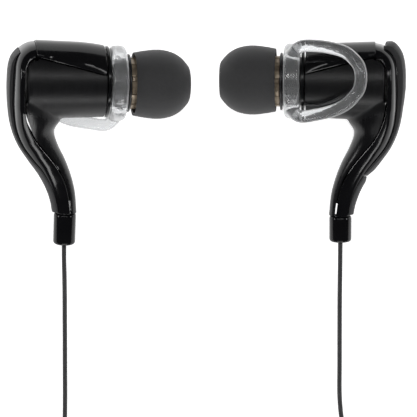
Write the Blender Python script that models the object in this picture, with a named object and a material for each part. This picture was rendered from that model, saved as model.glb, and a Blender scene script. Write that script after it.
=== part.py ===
"""Wired in-ear earphones, lying on a table.

Sizes are in millimetres and are turned into metres where a mesh is made. Each earpiece is
modelled upright in its own frame: x runs along the barrel to the ear tip, y is depth towards
the stabiliser's loop, z is up, and the barrel's axis is the x axis. An empty lays it down.
World: z is up and the table is z = 0.
"""
import math

import bmesh
import bpy
from mathutils import Matrix, Vector

MM = 0.001
GAP = 0.3                     # clearance between neighbouring pieces
ROUND = 20                    # facets round a large turned piece
FINE = 14                     # facets round a small turned piece

# Barrel and cavity
BARREL_REAR = 2.25            # where the barrel starts behind the band's edge
BARREL_LENGTH = 14.95
REAR_RADIUS = 7.2
FRONT_RADIUS = 6.7
CAVITY_RADIUS = 5.3
REAR_WALL = 2.3
CHANNEL_RADIUS = 0.75         # wire channel down the stem

# Pieces in front of the barrel
RING_THICKNESS = 0.5
NECK_STEP = 0.7               # how much slimmer than the cavity the nozzle's neck is
NECK_RADIUS = CAVITY_RADIUS - NECK_STEP
COLLAR_RADIUS = 7.2
COLLAR_WIDTH = 3.1
FLANGE_RADIUS = 5.5
FLANGE_THICKNESS = 0.4
BRONZE_WIDTH = 1.1
BRONZE_RADIUS = 4.9
NOZZLE_RADIUS = 2.4
NOZZLE_LIP = 0.2
NOZZLE_LENGTH = 7.2
NOZZLE_BORE = 1.8
MESH_THICKNESS = 0.2

# Ear tip
TIP_RADIUS = 6.6
TIP_LENGTH = 11.0
TIP_WALL = 0.5
TIP_ENGAGEMENT = 2.4          # how far the nozzle reaches into the tip's core
TIP_OPENING = 2.3

# Top cover
COVER_REAR = 4.4
COVER_REAR_ANGLE = 40.0       # half angle about the barrel's axis, at the rear end
COVER_FRONT_ANGLE = 68.0
COVER_INNER = 6.2
COVER_EDGE = 0.15             # how far its long edges stand out of the barrel
COVER_CREST = 0.55            # how far its middle stands out of the barrel

# Shell, pad and flap
SHELL_WALL = 0.9
PAD_HALF_WIDTH = 2.6
FLAP_HALF_WIDTH = 2.8
SOCKET_HEIGHT = 7.4
SOCKET_WIDTH = 2.6

# Sleeve and cords
SLEEVE_RADIUS = 2.15
SLEEVE_LENGTH = 5.1
SLEEVE_ROUNDING = 0.8
SLEEVE_CENTRE = 10.6          # how far forward of the back the stem's foot is
STEM_FOOT = -25.6
BRANCH = 0.9                  # branch cord diameter
MAIN = 1.6                    # main cord diameter

# Driver, and the board and cell behind it on the right
DRIVER_RADIUS = CAVITY_RADIUS - GAP
DRIVER_DEPTH = 2.7
FRAME_WIDTH = 0.8
CONE_RECESS = 0.5
MAGNET_THICKNESS = 1.2
MAGNET_RADIUS = DRIVER_RADIUS - 1.0
BOARD_THICKNESS = 0.8
SOCKET_WALL = 0.4
CONE_THICKNESS = 0.25
COIL_RADIUS = 2.2
COIL_WALL = 0.35
POLE_RADIUS = 1.5

# How the two pieces lie, tip to tip, so that a longer barrel sets each one further out
LEFT_REACH = -21.6                     # x where each barrel would end if it lay level
RIGHT_REACH = 21.17
LEFT_PLACE = (LEFT_REACH - BARREL_LENGTH, 11.25, 11.66)
LEFT_TURN = (15.3, 9.3, 0.0)           # about X, Y and Z, degrees
RIGHT_PLACE = (RIGHT_REACH + BARREL_LENGTH, 11.07, 8.6)
RIGHT_TURN = (11.0, -4.1, -0.4)
LEFT_LOOP_TURN = -38.0                 # the left stabiliser is turned round the barrel

# Remote, slider, splitter and plug, and where they lie
REMOTE_LENGTH = 32.0
REMOTE_WIDTH = 8.0
REMOTE_BASE = 2.2
REMOTE_HEIGHT = 5.0
REMOTE_WALL = 0.9
REMOTE_CENTRE = (33.4, -98.0)
BUTTON_LENGTH = 5.2
BUTTON_WIDTH = 4.0
BUTTON_PITCH = 8.0
BUTTON_PROUD = 0.5
BUTTON_LIP = 0.6                       # the rim that keeps a button in its window
BUTTON_TRAVEL_ROOM = 1.0               # from a button's rim down to the board
PAIR_OFFSET = 0.95                     # each branch cord from the middle of the pair
PAIR_HEIGHT = 1.15
SPLITTER_TOP = -82.0
SPLITTER_LENGTH = 14.0
SPLITTER_WIDTH = 6.4
SPLITTER_HEIGHT = 3.6
SLIDER_LENGTH = 6.0
SLIDER_WIDTH = 5.6
SLIDER_HEIGHT = 3.2
SLIDER_PLAY = 1.8                      # from the slider to the splitter, at rest
PLUG_AXIS = (-19.6, 3.0)               # x and z
PLUG_TAIL = -108.0                     # y where the grip starts
GRIP_RADIUS = 3.0
GRIP_LENGTH = 17.0
JACK_RADIUS = 1.75
JACK_LENGTH = 14.0
JACK_CORE_RADIUS = 0.75
JACK_SPACE = 0.6                       # between two contacts
JACK_CONTACTS = [("plug_sleeve", 6.0), ("plug_ring_rear", 1.8), ("plug_ring_front", 1.4)]
LEFT_COIL = (-22.4, -70.0)
RIGHT_COIL = (22.4, -70.0)
BRANCH_COIL_RADIUS = 5.0
BRANCH_COIL_WIDTH = 2.8
BRANCH_COIL_HEIGHT = 3.3
MAIN_COIL = (-9.0, -121.0)
MAIN_COIL_RADIUS = 9.0
MAIN_COIL_WIDTH = 6.8
MAIN_COIL_HEIGHT = 6.0

# Stations along the back, from the split at the top down to the stem's foot. Each holds the
# shell's outer point, its inner edge (both x, z) and the half depth there.
STATIONS = [
    ((4.1, 7.5), (4.1, 5.2), 4.5),
    ((2.6, 7.1), (3.1, 4.8), 5.1),
    ((1.1, 6.0), (2.35, 4.0), 5.9),
    ((0.25, 4.3), (1.95, 2.9), 6.6),
    ((0.0, 2.0), (1.8, 1.4), 7.0),
    ((-0.1, -1.2), (1.8, -1.4), 7.2),
    ((-0.05, -4.6), (2.0, -4.5), 6.9),
    ((0.4, -8.4), (2.75, -7.6), 5.9),
    ((1.6, -11.8), (4.1, -10.5), 4.9),
    ((3.5, -14.8), (6.1, -13.1), 4.1),
    ((5.6, -17.7), (8.2, -15.8), 3.4),
    ((7.2, -20.6), (9.9, -18.7), 2.8),
    ((8.2, -23.4), (10.9, -21.9), 2.4),
    ((8.65, STEM_FOOT), (11.4, STEM_FOOT), 2.25),
]
# The stem's front edge at the same stations, from the sixth one down.
FRONT_EDGE = [(8.0, -2.0), (8.6, -4.6), (9.3, -7.0), (8.1, -9.4), (8.9, -12.2), (10.4, -15.2),
              (11.6, -18.3), (12.45, -21.6), (12.85, STEM_FOOT)]
FIRST_WEB_STATION = 5
WEB_TOP = 5.55                # where the web starts, inside the barrel
WEB_OVERRUN = 0.5             # it is cut back to the shell's clearance afterwards
WEB_INSET = 0.3               # the web is this much thinner than the shell
PAD_DEPTHS = [0.6, 0.8, 1.0, 1.05, 1.05, 1.0, 0.85, 0.7, 0.6, 0.55, 0.5, 0.45, 0.4, 0.35]
FLAP_DEPTHS = [1.3, 1.5, 1.7, 1.8, 1.75, 1.6, 1.2, 0.95, 0.8, 0.7, 0.6, 0.5, 0.4, 0.35]
PAD_FIRST = 2.0               # stations where the left pad and the right flap begin
FLAP_FIRST = 1.2
FLAP_HINGE = 10.0             # station of the flap's living hinge
STRIP_LAST = 12.9

# The loop's centre line: how far forward of the collar's rear face, depth, height
LOOP_RADIUS = 1.2
LOOP_ROUTE = [(1.8, 3.5, 5.2), (-0.1, 5.1, 7.2), (-3.0, 5.4, 7.4), (-6.2, 6.1, 7.05),
              (-8.6, 6.9, 6.4), (-10.2, 7.7, 5.2), (-11.2, 8.3, 3.9), (-11.55, 8.75, 1.9),
              (-11.2, 8.7, -0.3), (-10.1, 8.4, -1.9), (-8.7, 8.0, -3.3), (-6.4, 7.5, -4.5),
              (-3.3, 6.8, -5.4), (-0.1, 6.6, -5.8), (1.8, 4.0, -4.9)]

# Cord routes on the table, x, y, z. Coils are rings that the runs meet.
LEFT_RUN = [(-27.30, -16.24, 2.52), (-27.41, -18.65, 1.87), (-27.47, -20.1, 1.48),
            (-27.50, -22.8, 0.86), (-27.45, -25.8, 0.52), (-27.40, -30.0, 0.47),
            (-27.35, -42.0, 0.47), (-27.35, -52.0, 0.47), (-27.60, -58.0, 0.47),
            (-28.15, -63.0, 0.47), (-28.3, -66.3, 0.47)]
RIGHT_RUN = [(25.74, -16.85, 2.48), (25.76, -19.29, 1.94), (25.77, -20.8, 1.62),
             (25.78, -23.8, 1.02), (25.76, -27.0, 0.58), (25.72, -31.5, 0.47), (25.70, -42.0, 0.47),
             (25.75, -50.0, 0.47), (26.6, -55.5, 0.47), (29.0, -61.0, 0.47), (31.2, -67.0, 0.47),
             (32.6, -73.5, 0.62), (33.3, -78.8, 1.2), (33.4, -81.7, 1.5)]
RIGHT_LINK = [(33.4, -114.3, 1.5), (33.3, -116.4, 1.05), (32.5, -118.9, 0.55), (30.4, -120.3, 0.47),
              (28.3, -119.2, 0.47), (27.3, -116.2, 0.47), (27.1, -108.0, 0.47), (27.1, -98.0, 0.47),
              (27.4, -86.0, 0.47), (28.1, -78.0, 0.47), (28.3, -73.7, 0.47)]
LEFT_TAIL = [(-16.95, -65.6, 2.7), (-16.7, -62.3, 1.6), (-15.2, -58.9, 0.7), (-12.0, -56.6, 0.47),
             (-8.2, -56.0, 0.47), (-4.4, -57.2, 0.47), (-1.9, -60.0, 0.8), (-1.1, -63.0, PAIR_HEIGHT),
             (-PAIR_OFFSET, -66.0, PAIR_HEIGHT), (-PAIR_OFFSET, -74.0, PAIR_HEIGHT),
             (-PAIR_OFFSET, SPLITTER_TOP + GAP, PAIR_HEIGHT)]
RIGHT_TAIL = [(18.4, -64.0, 1.95), (15.2, -63.5, 1.2), (12.0, -61.9, 0.55), (9.0, -59.6, 0.47),
              (6.0, -58.0, 0.47), (3.4, -58.4, 0.5), (1.9, -60.6, 0.85), (1.1, -63.4, PAIR_HEIGHT),
              (PAIR_OFFSET, -66.0, PAIR_HEIGHT), (PAIR_OFFSET, -74.0, PAIR_HEIGHT),
              (PAIR_OFFSET, SPLITTER_TOP + GAP, PAIR_HEIGHT)]
MAIN_RUN = [(0.0, SPLITTER_TOP - SPLITTER_LENGTH - GAP, 1.6), (0.05, -99.0, 1.4), (0.4, -102.0, 1.0),
            (1.4, -106.5, 0.85), (2.15, -110.5, 0.85), (2.4, -114.1, 0.85)]
MAIN_TAIL = [(-19.6, -113.0, 4.6), (-19.6, -111.2, 4.0), (-19.6, -109.6, 3.2),
             (-19.6, PLUG_TAIL - GAP, 3.0)]


def smooth(points, steps=8):
    """Points along a smooth curve through the given points."""
    pts = [Vector(p) for p in points]
    pts = [2 * pts[0] - pts[1]] + pts + [2 * pts[-1] - pts[-2]]
    out = []
    for a, b, c, d in zip(pts, pts[1:], pts[2:], pts[3:]):
        for k in range(steps):
            t = k / steps
            out.append(0.5 * ((2 * b) + (c - a) * t + (2 * a - 5 * b + 4 * c - d) * t ** 2
                              + (3 * b - a - 3 * c + d) * t ** 3))
    out.append(pts[-2])
    return out


def spaced(points, distance):
    """The same line with its points an even distance apart."""
    fine = smooth(points, 24)
    lengths = [0.0]
    for a, b in zip(fine, fine[1:]):
        lengths.append(lengths[-1] + (b - a).length)
    count = max(2, round(lengths[-1] / distance) + 1)
    out = []
    k = 0
    for i in range(count):
        want = lengths[-1] * i / (count - 1)
        while k < len(lengths) - 2 and lengths[k + 1] < want:
            k += 1
        share = (want - lengths[k]) / max(lengths[k + 1] - lengths[k], 1e-9)
        out.append(fine[k].lerp(fine[k + 1], min(max(share, 0.0), 1.0)))
    return out


def read_at(values, place):
    """A value between two stations; values are numbers or points."""
    k = min(int(place), len(values) - 2)
    share = place - k
    if isinstance(values[0], (int, float)):
        return values[k] * (1 - share) + values[k + 1] * share
    near = [Vector(values[min(max(k + i, 0), len(values) - 1)]) for i in (-1, 0, 1, 2)]
    if k == 0:
        near[0] = 2 * near[1] - near[2]
    if k == len(values) - 2:
        near[3] = 2 * near[2] - near[1]
    a, b, c, d = near
    return 0.5 * ((2 * b) + (c - a) * share + (2 * a - 5 * b + 4 * c - d) * share ** 2
                  + (3 * b - a - 3 * c + d) * share ** 3)


def material(name, colour, roughness, metallic=0.0):
    mat = bpy.data.materials.get(name) or bpy.data.materials.new(name)
    mat.use_nodes = True
    shader = mat.node_tree.nodes["Principled BSDF"]
    shader.inputs["Base Color"].default_value = (*colour, 1.0)
    shader.inputs["Roughness"].default_value = roughness
    shader.inputs["Metallic"].default_value = metallic
    return mat


def gloss_black():
    return material("gloss_black", (0.008, 0.008, 0.009), 0.15)


def satin_black():
    return material("satin_black", (0.016, 0.016, 0.017), 0.42)


def soft_grey():
    return material("soft_grey", (0.045, 0.045, 0.047), 0.7)


def clear_silicone():
    return material("clear_silicone", (0.8, 0.82, 0.84), 0.12)


def film():
    return material("film", (0.7, 0.66, 0.55), 0.2)


def bronze_tint():
    return material("bronze_tint", (0.32, 0.24, 0.16), 0.4, 0.6)


def steel():
    return material("steel", (0.55, 0.55, 0.56), 0.3, 1.0)


def gold_plate():
    return material("gold_plate", (0.83, 0.61, 0.25), 0.22, 1.0)


def cord_jacket():
    return material("cord_jacket", (0.055, 0.055, 0.057), 0.5)


def board_green():
    return material("board_green", (0.02, 0.09, 0.04), 0.5)


def copper():
    return material("copper", (0.6, 0.27, 0.13), 0.35, 1.0)


def finish(name, bm, mat, parent=None, origin=(0, 0, 0), smooth_angle=35.0):
    """Make an object from a bmesh in millimetres, with its origin at the given point."""
    bmesh.ops.remove_doubles(bm, verts=bm.verts, dist=1e-4)
    bmesh.ops.recalc_face_normals(bm, faces=bm.faces)
    bmesh.ops.translate(bm, verts=bm.verts, vec=-Vector(origin))
    bmesh.ops.scale(bm, verts=bm.verts, vec=(MM, MM, MM))
    mesh = bpy.data.meshes.new(name)
    bm.to_mesh(mesh)
    bm.free()
    mesh.shade_smooth()
    mesh.set_sharp_from_angle(angle=math.radians(smooth_angle))
    obj = bpy.data.objects.new(name, mesh)
    bpy.context.collection.objects.link(obj)
    obj.data.materials.append(mat)
    obj.parent = parent
    obj.location = Vector(origin) * MM
    return obj


def turned(profile, segments, axis="X", centre=(0, 0, 0)):
    """A bmesh turned round an axis from a closed outline of (along, radius) points."""
    bm = bmesh.new()
    verts = []
    for along, radius in profile:
        place = {"X": (along, 0, radius), "Y": (radius, along, 0), "Z": (radius, 0, along)}[axis]
        verts.append(bm.verts.new(Vector(centre) + Vector(place)))
    edges = []
    for k, vert in enumerate(verts):
        other = (k + 1) % len(verts)
        if max(profile[k][1], profile[other][1]) > 0:
            edges.append(bm.edges.new((vert, verts[other])))
    turn_axis = {"X": (1, 0, 0), "Y": (0, 1, 0), "Z": (0, 0, 1)}[axis]
    bmesh.ops.spin(bm, geom=verts + edges, cent=centre, axis=turn_axis, angle=math.tau,
                   steps=segments, use_duplicate=False)
    return bm


def lofted(rings):
    """A closed bmesh through rings of equal counts."""
    bm = bmesh.new()
    loops = [[bm.verts.new(p) for p in ring] for ring in rings]
    for near, far in zip(loops, loops[1:]):
        for k in range(len(near)):
            n = (k + 1) % len(near)
            bm.faces.new((near[k], near[n], far[n], far[k]))
    bm.faces.new(list(reversed(loops[0])))
    bm.faces.new(loops[-1])
    return bm


def swept(route, radius, sides):
    """Rings of a round tube along a route."""
    side = None
    rings = []
    for k, point in enumerate(route):
        ahead = (route[min(k + 1, len(route) - 1)] - route[max(k - 1, 0)]).normalized()
        if side is None:
            side = ahead.orthogonal()
        side = (side - ahead * side.dot(ahead)).normalized()
        up = ahead.cross(side)
        rings.append([point + radius * (math.cos(math.tau * i / sides) * side
                                        + math.sin(math.tau * i / sides) * up)
                      for i in range(sides)])
    return rings


def block(low, high):
    bm = bmesh.new()
    bmesh.ops.create_cube(bm, size=1.0)
    size = Vector(high) - Vector(low)
    bmesh.ops.scale(bm, verts=bm.verts, vec=size)
    bmesh.ops.translate(bm, verts=bm.verts, vec=(Vector(high) + Vector(low)) / 2)
    return bm


def combine(obj, name, bm, operation):
    """Cut or join with a hidden helper solid in the same frame."""
    helper = finish(name, bm, obj.data.materials[0], obj.parent)
    helper.hide_render = True
    helper.display_type = "WIRE"
    helper.hide_set(True)
    modifier = obj.modifiers.new(name, "BOOLEAN")
    modifier.operation = operation
    modifier.object = helper
    return helper


def rounded(obj, width, segments=1, angle=40.0):
    modifier = obj.modifiers.new("rounded", "BEVEL")
    modifier.width = width * MM
    modifier.segments = segments
    modifier.limit_method = "ANGLE"
    modifier.angle_limit = math.radians(angle)


# The barrel's line of pieces, worked out from the sizes above.
BARREL_FRONT = BARREL_REAR + BARREL_LENGTH
RING_REAR = BARREL_FRONT + GAP
COLLAR_REAR = RING_REAR + RING_THICKNESS + GAP
FLANGE_REAR = COLLAR_REAR + COLLAR_WIDTH + GAP
FLANGE_FRONT = FLANGE_REAR + FLANGE_THICKNESS
NOZZLE_FRONT = FLANGE_FRONT + NOZZLE_LENGTH
BRONZE_REAR = FLANGE_FRONT + GAP
TIP_REAR = FLANGE_FRONT + 0.5
CORE_REAR = NOZZLE_FRONT - TIP_ENGAGEMENT
PLATE_FRONT = BARREL_FRONT - GAP
PLATE_REAR = PLATE_FRONT - 1.0
CAVITY_REAR = BARREL_REAR + REAR_WALL
FRAME_FRONT = PLATE_REAR - GAP


def barrel_radius(x):
    share = (x - BARREL_REAR) / BARREL_LENGTH
    return REAR_RADIUS + (FRONT_RADIUS - REAR_RADIUS) * share


def station(place):
    outer = read_at([s[0] for s in STATIONS], place)
    inner = read_at([s[1] for s in STATIONS], place)
    depth = read_at([s[2] for s in STATIONS], place)
    return outer, inner, depth


def arch(origin, out, height, half, samples, power=2.5):
    """Points of an arch over a station, from +y to -y."""
    points = []
    for k in range(samples + 1):
        turn = math.pi * k / samples
        across = half * math.copysign(abs(math.cos(turn)) ** (2 / power), math.cos(turn))
        up = height * math.sin(turn) ** (2 / power)
        flat = origin + out * up
        points.append(Vector((flat.x, across, flat.y)))
    return points


def shell_rings():
    rings = []
    count = 19
    for k in range(count):
        outer, inner, half = station(k * (len(STATIONS) - 1) / (count - 1))
        out = (outer - inner).normalized()
        height = (outer - inner).length
        ring = arch(inner, out, height, half, 9)
        ring += reversed(arch(inner, out, height - SHELL_WALL, half - SHELL_WALL, 9))
        rings.append(ring)
    return rings


def strip_rings(depths, first, last, half_width, count):
    """The soft strip that lies over the shell's middle."""
    rings = []
    for k in range(count):
        place = first + (last - first) * k / (count - 1)
        outer, inner, half = station(place)
        out = (outer - inner).normalized()
        height = (outer - inner).length
        width = min(half_width, 0.72 * half)
        thick = max(read_at(depths, place), GAP + 0.25)
        under = []
        over = []
        for i in range(-2, 3):
            across = width * i / 2
            rise = (1 - abs(across / half) ** 2.5) ** 0.4
            edge = 1 - 0.35 * abs(i / 2) ** 3
            low = inner + out * (height * rise + GAP)
            high = inner + out * (height * rise + GAP + (thick - GAP) * edge)
            under.append(Vector((low.x, across, low.y)))
            over.append(Vector((high.x, across, high.y)))
        rings.append(under + over[::-1])
    return rings


def web_rings():
    """The inner half of the stem, which the barrel grows out of."""
    rings = []
    last = len(STATIONS) - 1
    count = 12
    for k in range(count):
        place = WEB_TOP + (last - WEB_TOP) * k / (count - 1)
        _, inner, half = station(place)
        front = read_at(FRONT_EDGE, place - FIRST_WEB_STATION)
        along = (front - inner).normalized()
        length = (front - inner).length + WEB_OVERRUN
        rings.append(arch(inner - along * WEB_OVERRUN, along, length, half - WEB_INSET, 9, 2.1))
    return rings


def shell_space_rings():
    """What the shell takes out of the housing, with its clearance."""
    rings = []
    count = 16
    last = len(STATIONS) - 1
    for k in range(count):
        place = last * k / (count - 1)
        outer, inner, half = station(place)
        out = (outer - inner).normalized()
        height = (outer - inner).length + 3.0
        if k == 0:
            inner = inner + Vector((GAP, 0))
        if k == count - 1:
            inner = inner - Vector((0, 1.0))
        rings.append(arch(inner - out * GAP, out, height, half + 2.0, 8, 6.0))
    return rings


def cover_rings(grow, inner_radius, outer_extra, rear, front):
    """Rings of the top cover, or of the seat that is cut for it when grow is over zero."""
    rings = []
    for k in range(7):
        x = rear + (front - rear) * k / 6
        share = (x - COVER_REAR) / (BARREL_FRONT - COVER_REAR)
        half = COVER_REAR_ANGLE + (COVER_FRONT_ANGLE - COVER_REAR_ANGLE) * share
        half = math.radians(half) + grow / REAR_RADIUS
        droop = max(0.0, share - 0.55) ** 2 * 2.2
        over = []
        under = []
        for i in range(9):
            turn = half * (2 * i / 8 - 1)
            swell = math.cos(turn / half * math.pi / 2) ** 0.8 if abs(turn) < half * 0.999 else 0.0
            radius = barrel_radius(x) + COVER_EDGE + (COVER_CREST - droop) * swell + outer_extra
            over.append(Vector((x, radius * math.sin(turn), radius * math.cos(turn))))
            under.append(Vector((x, inner_radius * math.sin(turn), inner_radius * math.cos(turn))))
        rings.append(over + under[::-1])
    return rings


def make_housing(side, frame):
    profile = [(BARREL_REAR, 0), (BARREL_REAR, REAR_RADIUS - 0.3), (BARREL_REAR + 0.3, REAR_RADIUS),
               (BARREL_FRONT, FRONT_RADIUS), (BARREL_FRONT, 0)]
    obj = finish(side + "_inner_housing", turned(profile, ROUND + 8), satin_black(), frame)
    combine(obj, side + "_stem_web", lofted(web_rings()), "UNION")
    combine(obj, side + "_shell_space", lofted(shell_space_rings()), "DIFFERENCE")
    channel = swept(wire_route(), CHANNEL_RADIUS, 8)
    combine(obj, side + "_wire_channel", lofted(channel), "DIFFERENCE")
    cavity = [(CAVITY_REAR, 0), (CAVITY_REAR, CAVITY_RADIUS), (BARREL_FRONT + 1, CAVITY_RADIUS),
              (BARREL_FRONT + 1, 0)]
    combine(obj, side + "_cavity", turned(cavity, ROUND), "DIFFERENCE")
    if side == "right":
        combine(obj, "housing_socket_pocket", socket_pocket(), "DIFFERENCE")
    seat = cover_rings(GAP, COVER_INNER - GAP, 4.0, COVER_REAR - GAP, BARREL_FRONT + 2)
    combine(obj, side + "_cover_seat", lofted(seat), "DIFFERENCE")
    return obj


def wire_route():
    """Down the stem from the barrel's cavity to the stem's foot and a little past it."""
    return spaced([(9.0, 0, -3.6), (7.6, 0, -6.0), (6.2, 0, -9.2), (7.6, 0, -13.2), (9.6, 0, -17.0),
                   (10.95, 0, -20.6), (11.5, 0, -24.0), (11.55, 0, STEM_FOOT - 1.0)], 1.6)


def socket_pocket():
    half_height = SOCKET_HEIGHT / 2 + GAP
    half_width = SOCKET_WIDTH / 2 + GAP
    return block((-2.0, -half_width, -half_height), (CAVITY_REAR + 1.0, half_width, half_height))


def make_shell(side, frame):
    obj = finish(side + "_outer_shell", lofted(shell_rings()), gloss_black(), frame)
    if side == "right":
        combine(obj, "shell_socket_pocket", socket_pocket(), "DIFFERENCE")
    return obj


def make_cover(side, frame):
    rings = cover_rings(0.0, COVER_INNER, 0.0, COVER_REAR, BARREL_FRONT)
    return finish(side + "_top_cover", lofted(rings), gloss_black(), frame)


def make_strip(side, frame):
    if side == "left":
        rings = strip_rings(PAD_DEPTHS, PAD_FIRST, STRIP_LAST, PAD_HALF_WIDTH, 14)
        return finish("left_rear_pad", lofted(rings), soft_grey(), frame)
    rings = strip_rings(FLAP_DEPTHS, FLAP_FIRST, FLAP_HINGE, FLAP_HALF_WIDTH, 12)
    outer, _, _ = station(FLAP_HINGE)
    return finish("right_port_flap", lofted(rings), soft_grey(), frame, (outer.x, 0, outer.y))


def make_tail_strip(frame):
    """The fixed lower part of the right strip, below the flap's living hinge."""
    rings = strip_rings(FLAP_DEPTHS, FLAP_HINGE + 0.2, STRIP_LAST, FLAP_HALF_WIDTH, 6)
    return finish("right_strip_root", lofted(rings), soft_grey(), frame)


def make_sleeve(side, frame):
    top = STEM_FOOT - GAP
    foot = top - SLEEVE_LENGTH
    bore = BRANCH / 2 + GAP
    nip = 0.3 * SLEEVE_ROUNDING
    profile = [(top, bore), (top, SLEEVE_RADIUS), (foot + SLEEVE_ROUNDING, SLEEVE_RADIUS),
               (foot + nip, SLEEVE_RADIUS - nip), (foot, SLEEVE_RADIUS - SLEEVE_ROUNDING), (foot, bore)]
    centre = (SLEEVE_CENTRE, 0, 0)
    return finish(side + "_cable_sleeve", turned(profile, FINE, "Z", centre), satin_black(), frame)


def make_inner_lead(side, frame):
    route = [p for p in wire_route() if -24.0 < p.z < -CAVITY_RADIUS - 0.9]
    return finish(side + "_inner_lead", lofted(swept(route, BRANCH / 2, 6)), cord_jacket(), frame)


def make_front(side, frame):
    ring = [(RING_REAR, NECK_RADIUS + GAP), (RING_REAR, FRONT_RADIUS + 0.1),
            (RING_REAR + RING_THICKNESS, FRONT_RADIUS + 0.1),
            (RING_REAR + RING_THICKNESS, NECK_RADIUS + GAP)]
    finish(side + "_front_ring", turned(ring, ROUND), gloss_black(), frame)
    lip = NOZZLE_RADIUS + NOZZLE_LIP
    counterbore = NOZZLE_BORE + GAP
    nozzle = [(PLATE_REAR, NOZZLE_BORE), (PLATE_REAR, CAVITY_RADIUS - GAP),
              (PLATE_FRONT, CAVITY_RADIUS - GAP), (PLATE_FRONT, NECK_RADIUS),
              (FLANGE_REAR, NECK_RADIUS), (FLANGE_REAR, FLANGE_RADIUS),
              (FLANGE_FRONT, FLANGE_RADIUS), (FLANGE_FRONT, NOZZLE_RADIUS),
              (NOZZLE_FRONT - 1.6, NOZZLE_RADIUS), (NOZZLE_FRONT - 1.2, lip),
              (NOZZLE_FRONT, lip), (NOZZLE_FRONT, counterbore),
              (NOZZLE_FRONT - 0.8, counterbore), (NOZZLE_FRONT - 0.8, NOZZLE_BORE)]
    finish(side + "_nozzle", turned(nozzle, FINE), satin_black(), frame)
    disc_rear = NOZZLE_FRONT - 0.8 + GAP
    disc = [(disc_rear, 0), (disc_rear, NOZZLE_BORE), (disc_rear + MESH_THICKNESS, NOZZLE_BORE),
            (disc_rear + MESH_THICKNESS, 0)]
    finish(side + "_nozzle_mesh", turned(disc, FINE), steel(), frame)
    bronze = [(BRONZE_REAR, NOZZLE_RADIUS + GAP), (BRONZE_REAR, BRONZE_RADIUS),
              (BRONZE_REAR + BRONZE_WIDTH, BRONZE_RADIUS - 0.3),
              (BRONZE_REAR + BRONZE_WIDTH, NOZZLE_RADIUS + GAP)]
    finish(side + "_neck_ring", turned(bronze, FINE), bronze_tint(), frame)


def make_tip(side, frame):
    """A dome whose skirt folds back over a thick core."""
    end = TIP_REAR + TIP_LENGTH
    bore = NOZZLE_RADIUS + NOZZLE_LIP + GAP
    r = TIP_RADIUS
    outer = [(end, TIP_OPENING), (end, TIP_OPENING + 0.8), (end - 0.5, 0.60 * r), (end - 1.8, 0.80 * r),
             (end - 3.6, 0.94 * r), (end - 6.0, r), (end - 8.6, 0.965 * r), (TIP_REAR, 0.90 * r)]
    inner = [(TIP_REAR, 0.90 * r - TIP_WALL), (end - 8.4, 0.965 * r - TIP_WALL),
             (end - 5.8, r - TIP_WALL - 0.05), (end - 3.4, 0.92 * r - TIP_WALL), (end - 2.6, 0.72 * r),
             (end - 3.0, bore + 0.9), (CORE_REAR, bore + 0.8), (CORE_REAR, bore),
             (NOZZLE_FRONT + 0.5, bore), (NOZZLE_FRONT + 0.8, TIP_OPENING)]
    finish(side + "_ear_tip", turned(outer + inner, ROUND), soft_grey(), frame)


def make_stabiliser(side, frame):
    front = COLLAR_REAR + COLLAR_WIDTH
    bore = NECK_RADIUS + GAP
    mid = (COLLAR_REAR + front) / 2
    profile = [(COLLAR_REAR, bore), (COLLAR_REAR, COLLAR_RADIUS - 0.7),
               (COLLAR_REAR + 0.6, COLLAR_RADIUS - 0.1), (mid, COLLAR_RADIUS),
               (front - 0.6, COLLAR_RADIUS - 0.1), (front, COLLAR_RADIUS - 0.7), (front, bore)]
    turn = LEFT_LOOP_TURN if side == "left" else 0.0
    obj = finish(side + "_stabiliser", turned(profile, ROUND), clear_silicone(), frame)
    lay = Matrix.Rotation(math.radians(turn), 3, "X")
    route = [lay @ point + Vector((COLLAR_REAR, 0, 0)) for point in spaced(LOOP_ROUTE, 1.8)]
    combine(obj, side + "_loop", lofted(swept(route, LOOP_RADIUS, 8)), "UNION")


def make_driver(side, frame):
    front = FRAME_FRONT
    rear = front - DRIVER_DEPTH
    inner = DRIVER_RADIUS - FRAME_WIDTH
    ring = [(rear, inner), (rear, DRIVER_RADIUS), (front, DRIVER_RADIUS), (front, inner)]
    finish(side + "_driver_frame", turned(ring, FINE), steel(), frame)
    cone_front = front - CONE_RECESS
    cone = [(cone_front - CONE_THICKNESS, 0), (cone_front - CONE_THICKNESS, inner - GAP),
            (cone_front, inner - GAP), (cone_front, 0)]
    finish(side + "_diaphragm", turned(cone, FINE), film(), frame)
    pole_front = cone_front - CONE_THICKNESS - GAP - 0.2
    magnet_front = rear - GAP
    magnet_rear = magnet_front - MAGNET_THICKNESS
    magnet = [(magnet_rear, 0), (magnet_rear, MAGNET_RADIUS), (magnet_front, MAGNET_RADIUS),
              (magnet_front, POLE_RADIUS), (pole_front, POLE_RADIUS), (pole_front, 0)]
    finish(side + "_driver_magnet", turned(magnet, FINE), steel(), frame)
    coil_rear = magnet_front + GAP
    coil_front = cone_front - CONE_THICKNESS - GAP
    coil = [(coil_rear, COIL_RADIUS - COIL_WALL), (coil_rear, COIL_RADIUS), (coil_front, COIL_RADIUS),
            (coil_front, COIL_RADIUS - COIL_WALL)]
    finish(side + "_voice_coil", turned(coil, FINE), copper(), frame)
    return magnet_rear


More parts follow.
